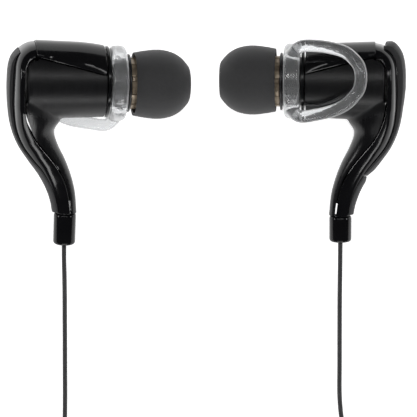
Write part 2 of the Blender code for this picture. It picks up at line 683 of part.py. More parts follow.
def make_port(frame, magnet_rear):
    """Socket, board and cell, in the right barrel only."""
    half_height = SOCKET_HEIGHT / 2
    half_width = SOCKET_WIDTH / 2
    socket = finish("charge_socket", block((0.6, -half_width, -half_height),
                                           (CAVITY_REAR, half_width, half_height)), steel(), frame)
    slot = block((0.0, SOCKET_WALL - half_width, SOCKET_WALL - half_height),
                 (CAVITY_REAR - SOCKET_WALL, half_width - SOCKET_WALL, half_height - SOCKET_WALL))
    combine(socket, "socket_slot", slot, "DIFFERENCE")
    board_rear = CAVITY_REAR + GAP
    board_front = board_rear + BOARD_THICKNESS
    board = [(board_rear, 0), (board_rear, DRIVER_RADIUS), (board_front, DRIVER_RADIUS),
             (board_front, 0)]
    finish("charge_board", turned(board, FINE), board_green(), frame)
    cell_rear = board_front + GAP
    cell_front = magnet_rear - GAP
    cell = [(cell_rear, 0), (cell_rear, DRIVER_RADIUS), (cell_front, DRIVER_RADIUS), (cell_front, 0)]
    finish("cell", turned(cell, FINE), steel(), frame)


def earpiece_frame(name, place, turn, facing):
    frame = bpy.data.objects.new(name, None)
    bpy.context.collection.objects.link(frame)
    tilt, dip, swing = (math.radians(angle) for angle in turn)
    lay = Matrix.Rotation(swing, 4, "Z") @ Matrix.Rotation(dip, 4, "Y") @ Matrix.Rotation(tilt, 4, "X")
    # columns: where the earpiece's x, y and z go before it is tilted
    stand = Matrix(((facing, 0, 0, 0), (0, 0, 1, 0), (0, -facing, 0, 0), (0, 0, 0, 1)))
    frame.matrix_world = Matrix.Translation(Vector(place) * MM) @ lay @ stand
    return frame


def make_earpiece(side, frame):
    make_housing(side, frame)
    make_shell(side, frame)
    make_cover(side, frame)
    make_strip(side, frame)
    make_sleeve(side, frame)
    make_inner_lead(side, frame)
    make_front(side, frame)
    make_tip(side, frame)
    make_stabiliser(side, frame)
    magnet_rear = make_driver(side, frame)
    if side == "right":
        make_tail_strip(frame)
        make_port(frame, magnet_rear)


def make_tube(name, route, diameter):
    curve = bpy.data.curves.new(name, "CURVE")
    curve.dimensions = "3D"
    curve.bevel_depth = diameter / 2 * MM
    curve.bevel_resolution = 2
    curve.use_fill_caps = True
    points = spaced(route, 2.9 * diameter)
    spline = curve.splines.new("POLY")
    spline.points.add(len(points) - 1)
    for spot, point in zip(spline.points, points):
        spot.co = (*(point * MM), 1.0)
    obj = bpy.data.objects.new(name, curve)
    bpy.context.collection.objects.link(obj)
    obj.data.materials.append(cord_jacket())
    return obj


def make_coil(name, centre, radius, width, height):
    near, far = radius - width / 2, radius + width / 2
    nip = 0.25 * height
    profile = [(0, near), (0, far), (height - nip, far), (height, far - nip), (height, near + nip),
               (height - nip, near)]
    return finish(name, turned(profile, 26, "Z", (*centre, 0)), cord_jacket())


def make_remote():
    x, y = REMOTE_CENTRE
    half_w, half_l = REMOTE_WIDTH / 2, REMOTE_LENGTH / 2
    wall = REMOTE_WALL
    base = finish("remote_base", block((x - half_w, y - half_l, 0), (x + half_w, y + half_l, REMOTE_BASE)),
                  satin_black())
    combine(base, "remote_base_hollow",
            block((x - half_w + wall, y - half_l + wall, wall), (x + half_w - wall, y + half_l - wall, 9)),
            "DIFFERENCE")
    cover_low = REMOTE_BASE + GAP
    cover = finish("remote_cover", block((x - half_w, y - half_l, cover_low),
                                         (x + half_w, y + half_l, REMOTE_HEIGHT)), gloss_black())
    inside_top = REMOTE_HEIGHT - wall
    combine(cover, "remote_cover_hollow",
            block((x - half_w + wall, y - half_l + wall, -1), (x + half_w - wall, y + half_l - wall,
                                                               inside_top)), "DIFFERENCE")
    rim_top = inside_top - GAP
    rim_low = rim_top - BUTTON_LIP
    board_top = rim_low - BUTTON_TRAVEL_ROOM
    inset = wall + GAP
    finish("remote_board", block((x - half_w + inset, y - half_l + inset, inset),
                                 (x + half_w - inset, y + half_l - inset, board_top)), board_green())
    wide, long = BUTTON_WIDTH / 2, BUTTON_LENGTH / 2
    for name, step in (("button_up", 1), ("button_play", 0), ("button_down", -1)):
        at = y + step * BUTTON_PITCH
        window = block((x - wide - GAP, at - long - GAP, 1), (x + wide + GAP, at + long + GAP, 9))
        combine(cover, name + "_window", window, "DIFFERENCE")
        cap = finish(name, block((x - wide, at - long, (rim_low + rim_top) / 2),
                                 (x + wide, at + long, REMOTE_HEIGHT + BUTTON_PROUD)), satin_black())
        rim = block((x - wide - BUTTON_LIP, at - long - BUTTON_LIP, rim_low),
                    (x + wide + BUTTON_LIP, at + long + BUTTON_LIP, rim_top))
        combine(cap, name + "_rim", rim, "UNION")


def make_slider():
    low = SPLITTER_TOP + SLIDER_PLAY
    half = SLIDER_WIDTH / 2
    obj = finish("chin_slider", block((-half, low, 0), (half, low + SLIDER_LENGTH, SLIDER_HEIGHT)),
                 satin_black())
    for name, side in (("slider_bore_left", -1), ("slider_bore_right", 1)):
        radius = BRANCH / 2 + GAP
        bore = [(low - 1, 0), (low - 1, radius), (low + SLIDER_LENGTH + 1, radius),
                (low + SLIDER_LENGTH + 1, 0)]
        centre = (side * PAIR_OFFSET, 0, PAIR_HEIGHT)
        combine(obj, name, turned(bore, 12, "Y", centre), "DIFFERENCE")


def make_splitter():
    half = SPLITTER_WIDTH / 2
    obj = finish("splitter", block((-half, SPLITTER_TOP - SPLITTER_LENGTH, 0),
                                   (half, SPLITTER_TOP, SPLITTER_HEIGHT)), satin_black())
    rounded(obj, 0.5, 2)


def make_plug():
    x, z = PLUG_AXIS
    centre = (x, 0, z)
    y = PLUG_TAIL
    front = y + GRIP_LENGTH
    neck = MAIN / 2 + 0.7
    grip = [(y, 0), (y, neck), (y + 4.0, neck + 0.2), (y + 5.0, GRIP_RADIUS - 0.4),
            (y + 6.0, GRIP_RADIUS), (front - 0.5, GRIP_RADIUS), (front, GRIP_RADIUS - 0.5), (front, 0)]
    finish("plug_grip", turned(grip, FINE, "Y", centre), satin_black())
    low = front + GAP
    end = low + JACK_LENGTH
    bore = JACK_CORE_RADIUS + GAP
    core = [(low, 0), (low, JACK_CORE_RADIUS)]
    for name, length in JACK_CONTACTS:
        high = low + length
        contact = [(low, bore), (low, JACK_RADIUS), (high, JACK_RADIUS), (high, bore)]
        finish(name, turned(contact, FINE, "Y", centre), gold_plate())
        near, far = high + JACK_SPACE / 4, high + 3 * JACK_SPACE / 4
        core += [(near, JACK_CORE_RADIUS), (near, JACK_RADIUS - 0.1), (far, JACK_RADIUS - 0.1),
                 (far, JACK_CORE_RADIUS)]
        low = high + JACK_SPACE
    core[-1] = (core[-1][0], 0)
    finish("plug_insulator", turned(core, FINE, "Y", centre), satin_black())
    neck = 0.66 * JACK_RADIUS
    knob = 0.83 * JACK_RADIUS
    tip = [(low, 0), (low, JACK_RADIUS), (end - 2.4, neck), (end - 1.7, neck), (end - 1.1, knob),
           (end - 0.4, 0.9), (end, 0.0)]
    finish("plug_tip", turned(tip, FINE, "Y", centre), gold_plate())


def make_cords():
    make_tube("left_cord_run", LEFT_RUN, BRANCH)
    make_tube("right_cord_run", RIGHT_RUN, BRANCH)
    make_tube("right_cord_link", RIGHT_LINK, BRANCH)
    make_tube("left_cord_tail", LEFT_TAIL, BRANCH)
    make_tube("right_cord_tail", RIGHT_TAIL, BRANCH)
    make_tube("main_cord_run", MAIN_RUN, MAIN)
    make_tube("main_cord_tail", MAIN_TAIL, MAIN)
    for name, centre in (("left_cord_coil", LEFT_COIL), ("right_cord_coil", RIGHT_COIL)):
        make_coil(name, centre, BRANCH_COIL_RADIUS, BRANCH_COIL_WIDTH, BRANCH_COIL_HEIGHT)
    make_coil("main_cord_coil", MAIN_COIL, MAIN_COIL_RADIUS, MAIN_COIL_WIDTH, MAIN_COIL_HEIGHT)


def main():
    for obj in list(bpy.data.objects):
        bpy.data.objects.remove(obj)
    make_earpiece("left", earpiece_frame("left_frame", LEFT_PLACE, LEFT_TURN, 1))
    make_earpiece("right", earpiece_frame("right_frame", RIGHT_PLACE, RIGHT_TURN, -1))
    make_remote()
    make_slider()
    make_splitter()
    make_plug()
    make_cords()


main()
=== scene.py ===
"""Wired in-ear earphones: the finished look of every piece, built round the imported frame.

Pieces are modelled in millimetres in their own earpiece's frame, then laid in the frame in
metres. In an earpiece's frame x runs along the barrel to the ear tip, y is depth towards the
stabiliser's loop, z is up, and the barrel's axis is the x axis.
"""

import math

import bmesh
import bpy
from bpy.props import FloatProperty, FloatVectorProperty, IntProperty, PointerProperty
from mathutils import Matrix, Vector


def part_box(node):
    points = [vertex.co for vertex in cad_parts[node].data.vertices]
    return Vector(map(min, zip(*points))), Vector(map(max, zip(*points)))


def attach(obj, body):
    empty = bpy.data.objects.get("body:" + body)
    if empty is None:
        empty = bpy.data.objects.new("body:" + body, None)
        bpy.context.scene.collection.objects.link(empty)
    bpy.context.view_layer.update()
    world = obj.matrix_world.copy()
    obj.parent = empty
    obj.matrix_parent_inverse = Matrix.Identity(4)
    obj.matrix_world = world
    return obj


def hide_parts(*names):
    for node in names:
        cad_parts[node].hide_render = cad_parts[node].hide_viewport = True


bl_info = {
    "name": "Wired Earphones",
    "version": (1, 0, 0),
    "blender": (4, 5, 0),
    "location": "View3D > Sidebar > Earphones",
    "description": "Models wired in-ear earphones piece by piece, with cords, finishes and stage",
    "category": "Object",
}

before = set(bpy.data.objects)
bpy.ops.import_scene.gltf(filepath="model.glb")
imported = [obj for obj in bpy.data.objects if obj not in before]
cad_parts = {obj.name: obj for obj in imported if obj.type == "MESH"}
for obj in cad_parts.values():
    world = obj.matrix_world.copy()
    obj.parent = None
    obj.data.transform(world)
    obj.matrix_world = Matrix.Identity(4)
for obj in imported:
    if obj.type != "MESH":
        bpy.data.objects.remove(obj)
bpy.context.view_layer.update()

MM = 0.001
CAMERA_PLACE = (0.00038, -0.0128)
GRAIN_SPREAD = (0.3, 0.7)     # where a noise's dark and light ends are taken to be
GAP = 0.3                     # clearance between neighbouring pieces
SEAM = 0.07                   # how far apart two fixed pieces look where they meet in the open
ROOT = "earphones"            # the body that everything fixed rides on

# Barrel, cavity and what stands in front of them
BARREL_REAR = 2.25
BARREL_LENGTH = 14.95
REAR_RADIUS = 7.2
FRONT_RADIUS = 6.7
CAVITY_RADIUS = 5.3
REAR_WALL = 2.3
CHANNEL_RADIUS = 0.75
SOCKET_HEIGHT = 7.4
SOCKET_WIDTH = 2.6
RING_THICKNESS = 0.5
NECK_STEP = 0.7
NECK_RADIUS = CAVITY_RADIUS - NECK_STEP
COLLAR_RADIUS = 7.2
COLLAR_WIDTH = 3.1
FLANGE_RADIUS = 5.5
FLANGE_THICKNESS = 0.4
BRONZE_WIDTH = 1.1
BRONZE_RADIUS = 4.9
NOZZLE_RADIUS = 2.4
NOZZLE_LIP = 0.2
NOZZLE_LENGTH = 7.2
NOZZLE_BORE = 1.8

# Ear tip
TIP_RADIUS = 6.6
TIP_LENGTH = 11.0
TIP_WALL = 0.5
TIP_ENGAGEMENT = 2.4
TIP_OPENING = 2.3
TIP_PARTING = 27.4            # where the mould's parting line goes round it
TIP_SETBACK = 0.35            # how far the skirt's edge is rolled forward of its rear end

# Top cover
COVER_REAR = 4.4
COVER_REAR_ANGLE = 40.0
COVER_FRONT_ANGLE = 68.0
COVER_INNER = 6.2
COVER_EDGE = 0.15
COVER_CREST = 0.55
COVER_CHAMFER = (0.25, 1.25)  # the bright facet's width along each long edge, rear and front

# Shell, strips, sleeve
SHELL_WALL = 0.9
PAD_HALF_WIDTH = 2.6
FLAP_HALF_WIDTH = 2.8
SLEEVE_RADIUS = 2.15
SLEEVE_LENGTH = {"left": 6.0, "right": 4.9}
SLEEVE_ROUNDING = 0.8
SLEEVE_CENTRE = 10.6
POLISH_FADE = (0.1, 1.2)      # how far outside the barrel the stem's polish begins, and is full
STEM_FOOT = -25.6
BRANCH = 0.9
MAIN = 1.6

BARREL_FRONT = BARREL_REAR + BARREL_LENGTH
RING_REAR = BARREL_FRONT + GAP
COLLAR_REAR = RING_REAR + RING_THICKNESS + GAP
FLANGE_REAR = COLLAR_REAR + COLLAR_WIDTH + GAP
FLANGE_FRONT = FLANGE_REAR + FLANGE_THICKNESS
NOZZLE_FRONT = FLANGE_FRONT + NOZZLE_LENGTH
BRONZE_REAR = FLANGE_FRONT + GAP
TIP_REAR = FLANGE_FRONT + 0.5
CORE_REAR = NOZZLE_FRONT - TIP_ENGAGEMENT
PLATE_FRONT = BARREL_FRONT - GAP
PLATE_REAR = PLATE_FRONT - 1.0
CAVITY_REAR = BARREL_REAR + REAR_WALL

# How each earpiece lies: place, turn about X, Y and Z in degrees, way that its tip faces
LAID = {
    "left": ((-21.6 - BARREL_LENGTH, 11.25, 11.66), (15.3, 9.3, 0.0), 1),
    "right": ((21.17 + BARREL_LENGTH, 11.07, 8.6), (11.0, -4.1, -0.4), -1),
}
LOOP_TURN = {"left": -38.0, "right": 0.0}
LOOP_PRESS = {"left": 0.955, "right": 1.0}    # share of its depth that each loop keeps
# How far up its barrel's height each soft or plugged-in piece sits, inside its clearance
SIT = {"left": {"tube": -0.2, "bronze": -0.25, "collar": -0.27, "tip": -0.42},
       "right": {"tube": 0.18, "bronze": 0.22, "collar": 0.24, "tip": 0.42}}

# Stations along the back: the shell's outer point, its inner edge, the half depth there
STATIONS = [
    ((4.1, 7.5), (4.1, 5.2), 4.5),
    ((2.6, 7.1), (3.1, 4.8), 5.1),
    ((1.1, 6.0), (2.35, 4.0), 5.9),
    ((0.25, 4.3), (1.95, 2.9), 6.6),
    ((0.0, 2.0), (1.8, 1.4), 7.0),
    ((-0.1, -1.2), (1.8, -1.4), 7.2),
    ((-0.05, -4.6), (2.0, -4.5), 6.9),
    ((0.4, -8.4), (2.75, -7.6), 5.9),
    ((1.6, -11.8), (4.1, -10.5), 4.9),
    ((3.5, -14.8), (6.1, -13.1), 4.1),
    ((5.6, -17.7), (8.2, -15.8), 3.4),
    ((7.2, -20.6), (9.9, -18.7), 2.8),
    ((8.2, -23.4), (10.9, -21.9), 2.4),
    ((8.65, STEM_FOOT), (11.4, STEM_FOOT), 2.25),
]
LAST = len(STATIONS) - 1
FRONT_EDGE = [(8.0, -2.0), (8.6, -4.6), (9.3, -7.0), (8.1, -9.4), (8.9, -12.2), (10.4, -15.2),
              (11.6, -18.3), (12.45, -21.6), (12.85, STEM_FOOT)]
FIRST_WEB_STATION = 5
WEB_TOP = 5.55
WEB_OVERRUN = 0.5
WEB_INSET = 0.3
PAD_DEPTHS = [0.6, 0.8, 1.0, 1.05, 1.05, 1.0, 0.85, 0.7, 0.6, 0.55, 0.5, 0.45, 0.4, 0.35]
FLAP_DEPTHS = [1.3, 1.5, 1.7, 1.8, 1.75, 1.6, 1.2, 0.95, 0.8, 0.7, 0.6, 0.5, 0.4, 0.35]
PAD_FIRST = 2.0
FLAP_FIRST = 1.2
FLAP_HINGE = 10.0
STRIP_LAST = 12.9
STRIP_SHARE = 0.72            # most of the shell's half depth that a strip covers
HINGE_THIN = 0.4              # a hinged strip's thickness at its foot, as a share
HINGE_EASE = 0.4              # how many stations it takes to thin

# The loop's centre line: how far forward of the collar's rear face, depth, height
LOOP_RADIUS = 1.2
LOOP_ROUTE = [(1.8, 3.5, 5.2), (-0.1, 5.1, 7.2), (-3.0, 5.4, 7.4), (-6.2, 6.1, 7.05),
              (-8.6, 6.9, 6.4), (-10.2, 7.7, 5.2), (-11.2, 8.3, 3.9), (-11.55, 8.75, 1.9),
              (-11.2, 8.7, -0.3), (-10.1, 8.4, -1.9), (-8.7, 8.0, -3.3), (-6.4, 7.5, -4.5),
              (-3.3, 6.8, -5.4), (-0.1, 6.6, -5.8), (1.8, 4.0, -4.9)]

# What lies on the cords
REMOTE_WALL = 0.9
BUTTON_LIP = 0.6
PAIR_OFFSET = 0.95
PAIR_HEIGHT = 1.15
SPLITTER_TOP = -82.0
SPLITTER_LENGTH = 14.0
PLUG_AXIS = (-19.6, 3.0)
PLUG_TAIL = -108.0
CASE_ROUNDING = 0.35
GRIP_RADIUS = 3.0
GRIP_LENGTH = 17.0
JACK_RADIUS = 1.75
JACK_LENGTH = 14.0
JACK_CORE_RADIUS = 0.75
JACK_SPACE = 0.6
JACK_CONTACTS = [("plug_sleeve", 6.0), ("plug_ring_rear", 1.8), ("plug_ring_front", 1.4)]

# Cord routes where they aren't coiled, on the table
LEFT_RUN = [(-27.30, -16.24, 2.52), (-27.41, -18.65, 1.87), (-27.47, -20.1, 1.48),
            (-27.50, -22.8, 0.86), (-27.45, -25.8, 0.52), (-27.40, -30.0, 0.47),
            (-27.35, -42.0, 0.47), (-27.35, -52.0, 0.47), (-27.60, -58.0, 0.47),
            (-28.15, -63.0, 0.47), (-28.3, -66.3, 0.47)]
RIGHT_RUN = [(25.74, -16.85, 2.48), (25.76, -19.29, 1.94), (25.77, -20.8, 1.62),
             (25.78, -23.8, 1.02), (25.76, -27.0, 0.58), (25.72, -31.5, 0.47), (25.70, -42.0, 0.47),
             (25.75, -50.0, 0.47), (26.6, -55.5, 0.47), (29.0, -61.0, 0.47), (31.2, -67.0, 0.47),
             (32.6, -73.5, 0.62), (33.3, -78.8, 1.2), (33.4, -81.7, 1.5)]
RIGHT_LINK = [(33.4, -114.3, 1.5), (33.3, -116.4, 1.05), (32.5, -118.9, 0.55), (30.4, -120.3, 0.47),
              (28.3, -119.2, 0.47), (27.3, -116.2, 0.47), (27.1, -108.0, 0.47), (27.1, -98.0, 0.47),
              (27.4, -86.0, 0.47), (28.1, -78.0, 0.47), (28.3, -73.7, 0.47)]
LEFT_TAIL = [(-16.95, -65.6, 2.7), (-16.7, -62.3, 1.6), (-15.2, -58.9, 0.7), (-12.0, -56.6, 0.47),
             (-8.2, -56.0, 0.47), (-4.4, -57.2, 0.47), (-1.9, -60.0, 0.8),
             (-1.1, -63.0, PAIR_HEIGHT), (-PAIR_OFFSET, -66.0, PAIR_HEIGHT),
             (-PAIR_OFFSET, -74.0, PAIR_HEIGHT),
             (-PAIR_OFFSET, SPLITTER_TOP + GAP, PAIR_HEIGHT)]
RIGHT_TAIL = [(18.4, -64.0, 1.95), (15.2, -63.5, 1.2), (12.0, -61.9, 0.55), (9.0, -59.6, 0.47),
              (6.0, -58.0, 0.47), (3.4, -58.4, 0.5), (1.9, -60.6, 0.85), (1.1, -63.4, PAIR_HEIGHT),
              (PAIR_OFFSET, -66.0, PAIR_HEIGHT), (PAIR_OFFSET, -74.0, PAIR_HEIGHT),
              (PAIR_OFFSET, SPLITTER_TOP + GAP, PAIR_HEIGHT)]
MAIN_RUN = [(0.0, SPLITTER_TOP - SPLITTER_LENGTH - GAP, 1.6), (0.05, -99.0, 1.4),
            (0.4, -102.0, 1.0), (1.4, -106.5, 0.85), (2.15, -110.5, 0.85), (2.4, -114.1, 0.85)]
MAIN_TAIL = [(-19.6, -113.0, 4.6), (-19.6, -111.2, 4.0), (-19.6, -109.6, 3.2),
             (-19.6, PLUG_TAIL - GAP, 3.0)]
LEFT_COIL = (-22.4, -70.0)
RIGHT_COIL = (22.4, -70.0)
MAIN_COIL = (-9.0, -121.0)
# How many times each cord goes round its coil
LEFT_WINDS = 9.5
RIGHT_WINDS = 6.25
MAIN_WINDS = 13.5
# Where each turn lies in its coil: radius in millimetres, and layer from the bottom
BRANCH_TURNS = [(5.9, 0), (5.0, 0), (4.1, 0), (4.55, 1), (5.45, 1)]
LEFT_TURNS = BRANCH_TURNS + [(5.9, 2), (5.0, 2), (4.1, 2), (4.55, 3), (5.45, 3)]
RIGHT_TURNS = BRANCH_TURNS + [(5.0, 2), (5.9, 2)]
MAIN_LAYER_PAIR = [11.4, 9.8, 8.2, 6.6], [7.4, 9.0, 10.6]
MAIN_TURNS = [(r, layer) for layer in range(4) for r in MAIN_LAYER_PAIR[layer % 2]]


# --- lines and outlines -------------------------------------------------------------------

def bend(a, b, c, d, share):
    """The point a share of the way from b to c, on the smooth curve through all four."""
    return 0.5 * ((2 * b) + (c - a) * share + (2 * a - 5 * b + 4 * c - d) * share ** 2
                  + (3 * b - a - 3 * c + d) * share ** 3)


def smooth(points, steps=8):
    """Points along a smooth curve through the given points."""
    pts = [Vector(p) for p in points]
    pts = [2 * pts[0] - pts[1]] + pts + [2 * pts[-1] - pts[-2]]
    out = [bend(*four, k / steps) for four in zip(pts, pts[1:], pts[2:], pts[3:])
           for k in range(steps)]
    out.append(pts[-2])
    return out


def spaced(points, distance):
    """The same line with its points an even distance apart."""
    fine = smooth(points, 24)
    lengths = [0.0]
    for a, b in zip(fine, fine[1:]):
        lengths.append(lengths[-1] + (b - a).length)
    count = max(2, round(lengths[-1] / distance) + 1)
    out = []
    k = 0
    for i in range(count):
        want = lengths[-1] * i / (count - 1)
        while k < len(lengths) - 2 and lengths[k + 1] < want:
            k += 1
        share = (want - lengths[k]) / max(lengths[k + 1] - lengths[k], 1e-9)
        out.append(fine[k].lerp(fine[k + 1], min(max(share, 0.0), 1.0)))
    return out


def eased(outline, radius, steps=4):
    """A closed outline of (along, radius) points with its corners rounded by arcs."""
    pts = [Vector(p) for p in outline]
    out = []
    for before, corner, after in zip(pts[-1:] + pts[:-1], pts, pts[1:] + pts[:1]):
        back, on = before - corner, after - corner
        reach = min(radius, 0.45 * back.length, 0.45 * on.length)
        start = corner + back.normalized() * reach
        end = corner + on.normalized() * reach
        for k in range(steps + 1):
            t = k / steps
            out.append(start * (1 - t) ** 2 + corner * 2 * t * (1 - t) + end * t ** 2)
    return [tuple(p) for p in out]


def read_at(values, place):
    """A value between two stations; values are numbers or points."""
    k = min(int(place), len(values) - 2)
    share = place - k
    if isinstance(values[0], (int, float)):
        return values[k] * (1 - share) + values[k + 1] * share
    near = [Vector(values[min(max(k + i, 0), len(values) - 1)]) for i in (-1, 0, 1, 2)]
    if k == 0:
        near[0] = 2 * near[1] - near[2]
    if k == len(values) - 2:
        near[3] = 2 * near[2] - near[1]
    return bend(*near, share)


def station(place):
    """The back at a place among the stations: outer point, inner edge and half depth."""
    return [read_at(values, place) for values in zip(*STATIONS)]


def back_at(place):
    """The back's inner edge there, the way out from it, how far out it goes and its half depth."""
    outer, inner, half = station(place)
    return inner, (outer - inner).normalized(), (outer - inner).length, half


def barrel_radius(x):
    return REAR_RADIUS + (FRONT_RADIUS - REAR_RADIUS) * (x - BARREL_REAR) / BARREL_LENGTH


def arch(origin, out, height, half, samples, power=2.5):
    """Points of an arch over a station, from +y to -y."""
    points = []
    for k in range(samples + 1):
        turn = math.pi * k / samples
        across = half * math.copysign(abs(math.cos(turn)) ** (2 / power), math.cos(turn))
        flat = origin + out * height * math.sin(turn) ** (2 / power)
        points.append(Vector((flat.x, across, flat.y)))
    return points


# --- modelling ----------------------------------------------------------------------------

def deselect():
    if bpy.context.object and bpy.context.object.mode != "OBJECT":
        bpy.ops.object.mode_set(mode="OBJECT")
    bpy.ops.object.select_all(action="DESELECT")


def active(obj):
    deselect()
    obj.select_set(True)
    bpy.context.view_layer.objects.active = obj
    return obj


def editing(obj):
    active(obj)
    bpy.ops.object.mode_set(mode="EDIT")
    bpy.ops.mesh.select_mode(type="VERT")
    bpy.ops.mesh.select_all(action="DESELECT")
    return bmesh.from_edit_mesh(obj.data)


def pick(obj, wanted, kind="verts"):
    """In edit mode, select only the vertices, edges or faces that wanted() says."""
    bpy.ops.mesh.select_all(action="DESELECT")
    bpy.ops.mesh.select_mode(type={"verts": "VERT", "edges": "EDGE", "faces": "FACE"}[kind])
    mesh = bmesh.from_edit_mesh(obj.data)
    for item in getattr(mesh, kind):
        if wanted(item):
            item.select_set(True)
    mesh.select_flush_mode()
    bmesh.update_edit_mesh(obj.data)


def outward(obj):
    """Merge what doubled and turn the faces out."""
    editing(obj)
    bpy.ops.mesh.select_all(action="SELECT")
    bpy.ops.mesh.remove_doubles(threshold=1e-4)
    bpy.ops.mesh.normals_make_consistent(inside=False)
    bpy.ops.object.mode_set(mode="OBJECT")
    return obj


def drawn(name, rings, ends="fill"):
    """A circle laid on the first ring and extruded onto each of the next.

    ends is "fill" to close both ends, or "bridge" to join the last ring to the first.
    """
    deselect()
    bpy.ops.mesh.primitive_circle_add(vertices=len(rings[0]), radius=1.0)
    obj = bpy.context.object
    obj.name = obj.data.name = name
    bpy.ops.object.mode_set(mode="EDIT")
    bpy.ops.mesh.select_mode(type="VERT")
    bpy.ops.mesh.select_all(action="SELECT")
    mesh = bmesh.from_edit_mesh(obj.data)
    mesh.verts.ensure_lookup_table()
    ring = first = list(range(len(rings[0])))
    for index, point in zip(ring, rings[0]):
        mesh.verts[index].co = point
    for points in rings[1:]:
        bpy.ops.mesh.extrude_region_move()
        mesh = bmesh.from_edit_mesh(obj.data)
        mesh.verts.ensure_lookup_table()
        mesh.verts.index_update()
        after = []
        for index in ring:
            vert = mesh.verts[index]
            mates = [edge.other_vert(vert) for edge in vert.link_edges]
            after.append(next(mate.index for mate in mates if mate.select))
        ring = after
        for index, point in zip(ring, points):
            mesh.verts[index].co = point
    bmesh.update_edit_mesh(obj.data)
    both = set(first) | set(ring)
    if ends == "bridge":
        pick(obj, lambda vert: vert.index in both)
        bpy.ops.mesh.bridge_edge_loops()
    else:
        for end in (set(first), set(ring)):
            pick(obj, lambda vert: vert.index in end)
            bpy.ops.mesh.edge_face_add()
    bpy.ops.object.mode_set(mode="OBJECT")
    return outward(obj)


def turned(name, profile, segments=64, axis="X", centre=(0, 0, 0), ends="bridge"):
    """A turned piece: rings round an axis, one at each (along, radius) point of a profile."""
    rings = []
    for along, radius in profile:
        ring = []
        for k in range(segments):
            turn = math.tau * k / segments
            a, b = radius * math.cos(turn), radius * math.sin(turn)
            point = {"X": (along, a, b), "Y": (a, along, b), "Z": (a, b, along)}[axis]
            ring.append(Vector(centre) + Vector(point))
        rings.append(ring)
    return drawn(name, rings, ends)


def tube_rings(route, radius, sides):
    side = None
    rings = []
    for k, point in enumerate(route):
        ahead = (route[min(k + 1, len(route) - 1)] - route[max(k - 1, 0)]).normalized()
        if side is None:
            side = ahead.orthogonal()
        side = (side - ahead * side.dot(ahead)).normalized()
        up = ahead.cross(side)
        rings.append([point + radius * (math.cos(math.tau * i / sides) * side
                                        + math.sin(math.tau * i / sides) * up)
                      for i in range(sides)])
    return rings


def case(name, low, high, rounding, segments=4):
    """A cube at its size and place, with its edges bevelled."""
    deselect()
    middle = (Vector(low) + Vector(high)) / 2
    bpy.ops.mesh.primitive_cube_add(size=1.0)
    obj = bpy.context.object
    obj.name = obj.data.name = name
    bpy.ops.object.mode_set(mode="EDIT")
    bpy.ops.mesh.select_all(action="SELECT")
    bpy.ops.transform.resize(value=Vector(high) - Vector(low), center_override=(0, 0, 0))
    bpy.ops.transform.translate(value=middle)
    bpy.ops.mesh.bevel(offset=rounding, offset_type="OFFSET", segments=segments, affect="EDGES")
    bpy.ops.object.mode_set(mode="OBJECT")
    return obj


def applied(obj, kind, **settings):
    """Add a modifier, set it and apply it."""
    active(obj)
    modifier = obj.modifiers.new(kind.lower(), kind)
    for key, value in settings.items():
        setattr(modifier, key, value)
    bpy.ops.object.modifier_apply(modifier=modifier.name)
    return obj


def cut(obj, cutter, operation="DIFFERENCE"):
    applied(obj, "BOOLEAN", object=cutter, operation=operation, solver="EXACT")
    bpy.data.objects.remove(cutter)
    return obj


def chamfered(obj, width, angle):
    """Round every edge that is sharper than an angle in degrees."""
    return applied(obj, "BEVEL", width=width, segments=3, limit_method="ANGLE",
                   angle_limit=math.radians(angle))


def sunk(obj, wanted, thickness, depth):
    """Inset the faces that wanted() says, and move them along their normals by depth."""
    editing(obj)
    pick(obj, wanted, "faces")
    bpy.ops.mesh.inset(thickness=thickness, depth=depth)
    bpy.ops.object.mode_set(mode="OBJECT")
    return obj


def facing_up(face):
    return face.normal.z > 0.99


def melted(obj, other, voxel, passes):
    """Join two shapes into one skin and soften where they meet."""
    active(obj)
    other.select_set(True)
    bpy.ops.object.join()
    applied(obj, "REMESH", mode="VOXEL", voxel_size=voxel)
    return applied(obj, "SMOOTH", factor=0.5, iterations=passes)


def lay_matrix(side, piece=None):
    """From an earpiece's own frame in millimetres to the row frame in metres."""
    lift = SIT[side].get(piece, 0.0)
    place, turn, facing = LAID[side]
    tilt, dip, swing = (math.radians(angle) for angle in turn)
    lay = (Matrix.Rotation(swing, 4, "Z") @ Matrix.Rotation(dip, 4, "Y")
           @ Matrix.Rotation(tilt, 4, "X"))
    stand = Matrix(((facing, 0, 0, 0), (0, 0, 1, 0), (0, -facing, 0, 0), (0, 0, 0, 1)))
    return (Matrix.Translation(Vector(place) * MM) @ lay @ stand @ Matrix.Scale(MM, 4)
            @ Matrix.Translation((0, 0, lift)))


def settle(obj, where, material, body, slot, *nodes, angle=35.0):
    """Lay a finished piece in the frame, give it its material, smooth its shading by angle, parent
    it to its body's empty and hide the frame's pieces that it replaces.
    """
    obj.data.transform(where)
    obj.data.materials.clear()
    obj.data.materials.append(material)
    active(obj)
    bpy.ops.object.shade_smooth_by_angle(angle=math.radians(angle))
    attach(obj, body)
    if nodes:
        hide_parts(*nodes)
    return obj


FLAT = Matrix.Scale(MM, 4)    # for pieces modelled where they lie


# --- finishes -----------------------------------------------------------------------------

def shader_of(name, colour, roughness, metallic=0.0, **sockets):
    """A Principled material and its shader, with its uniform values set.

    The prefix keeps it apart from the frame's own materials, which go by the bare names.
    """
    mat = bpy.data.materials.get("look_" + name)
    fresh = mat is None
    if fresh:
        mat = bpy.data.materials.new("look_" + name)
    mat.use_nodes = True
    shader = mat.node_tree.nodes["Principled BSDF"]
    shader.inputs["Base Color"].default_value = (*colour, 1.0)
    shader.inputs["Roughness"].default_value = roughness
    shader.inputs["Metallic"].default_value = metallic
    for socket, value in sockets.items():
        shader.inputs[socket.replace("_", " ")].default_value = value
    return mat, shader, fresh


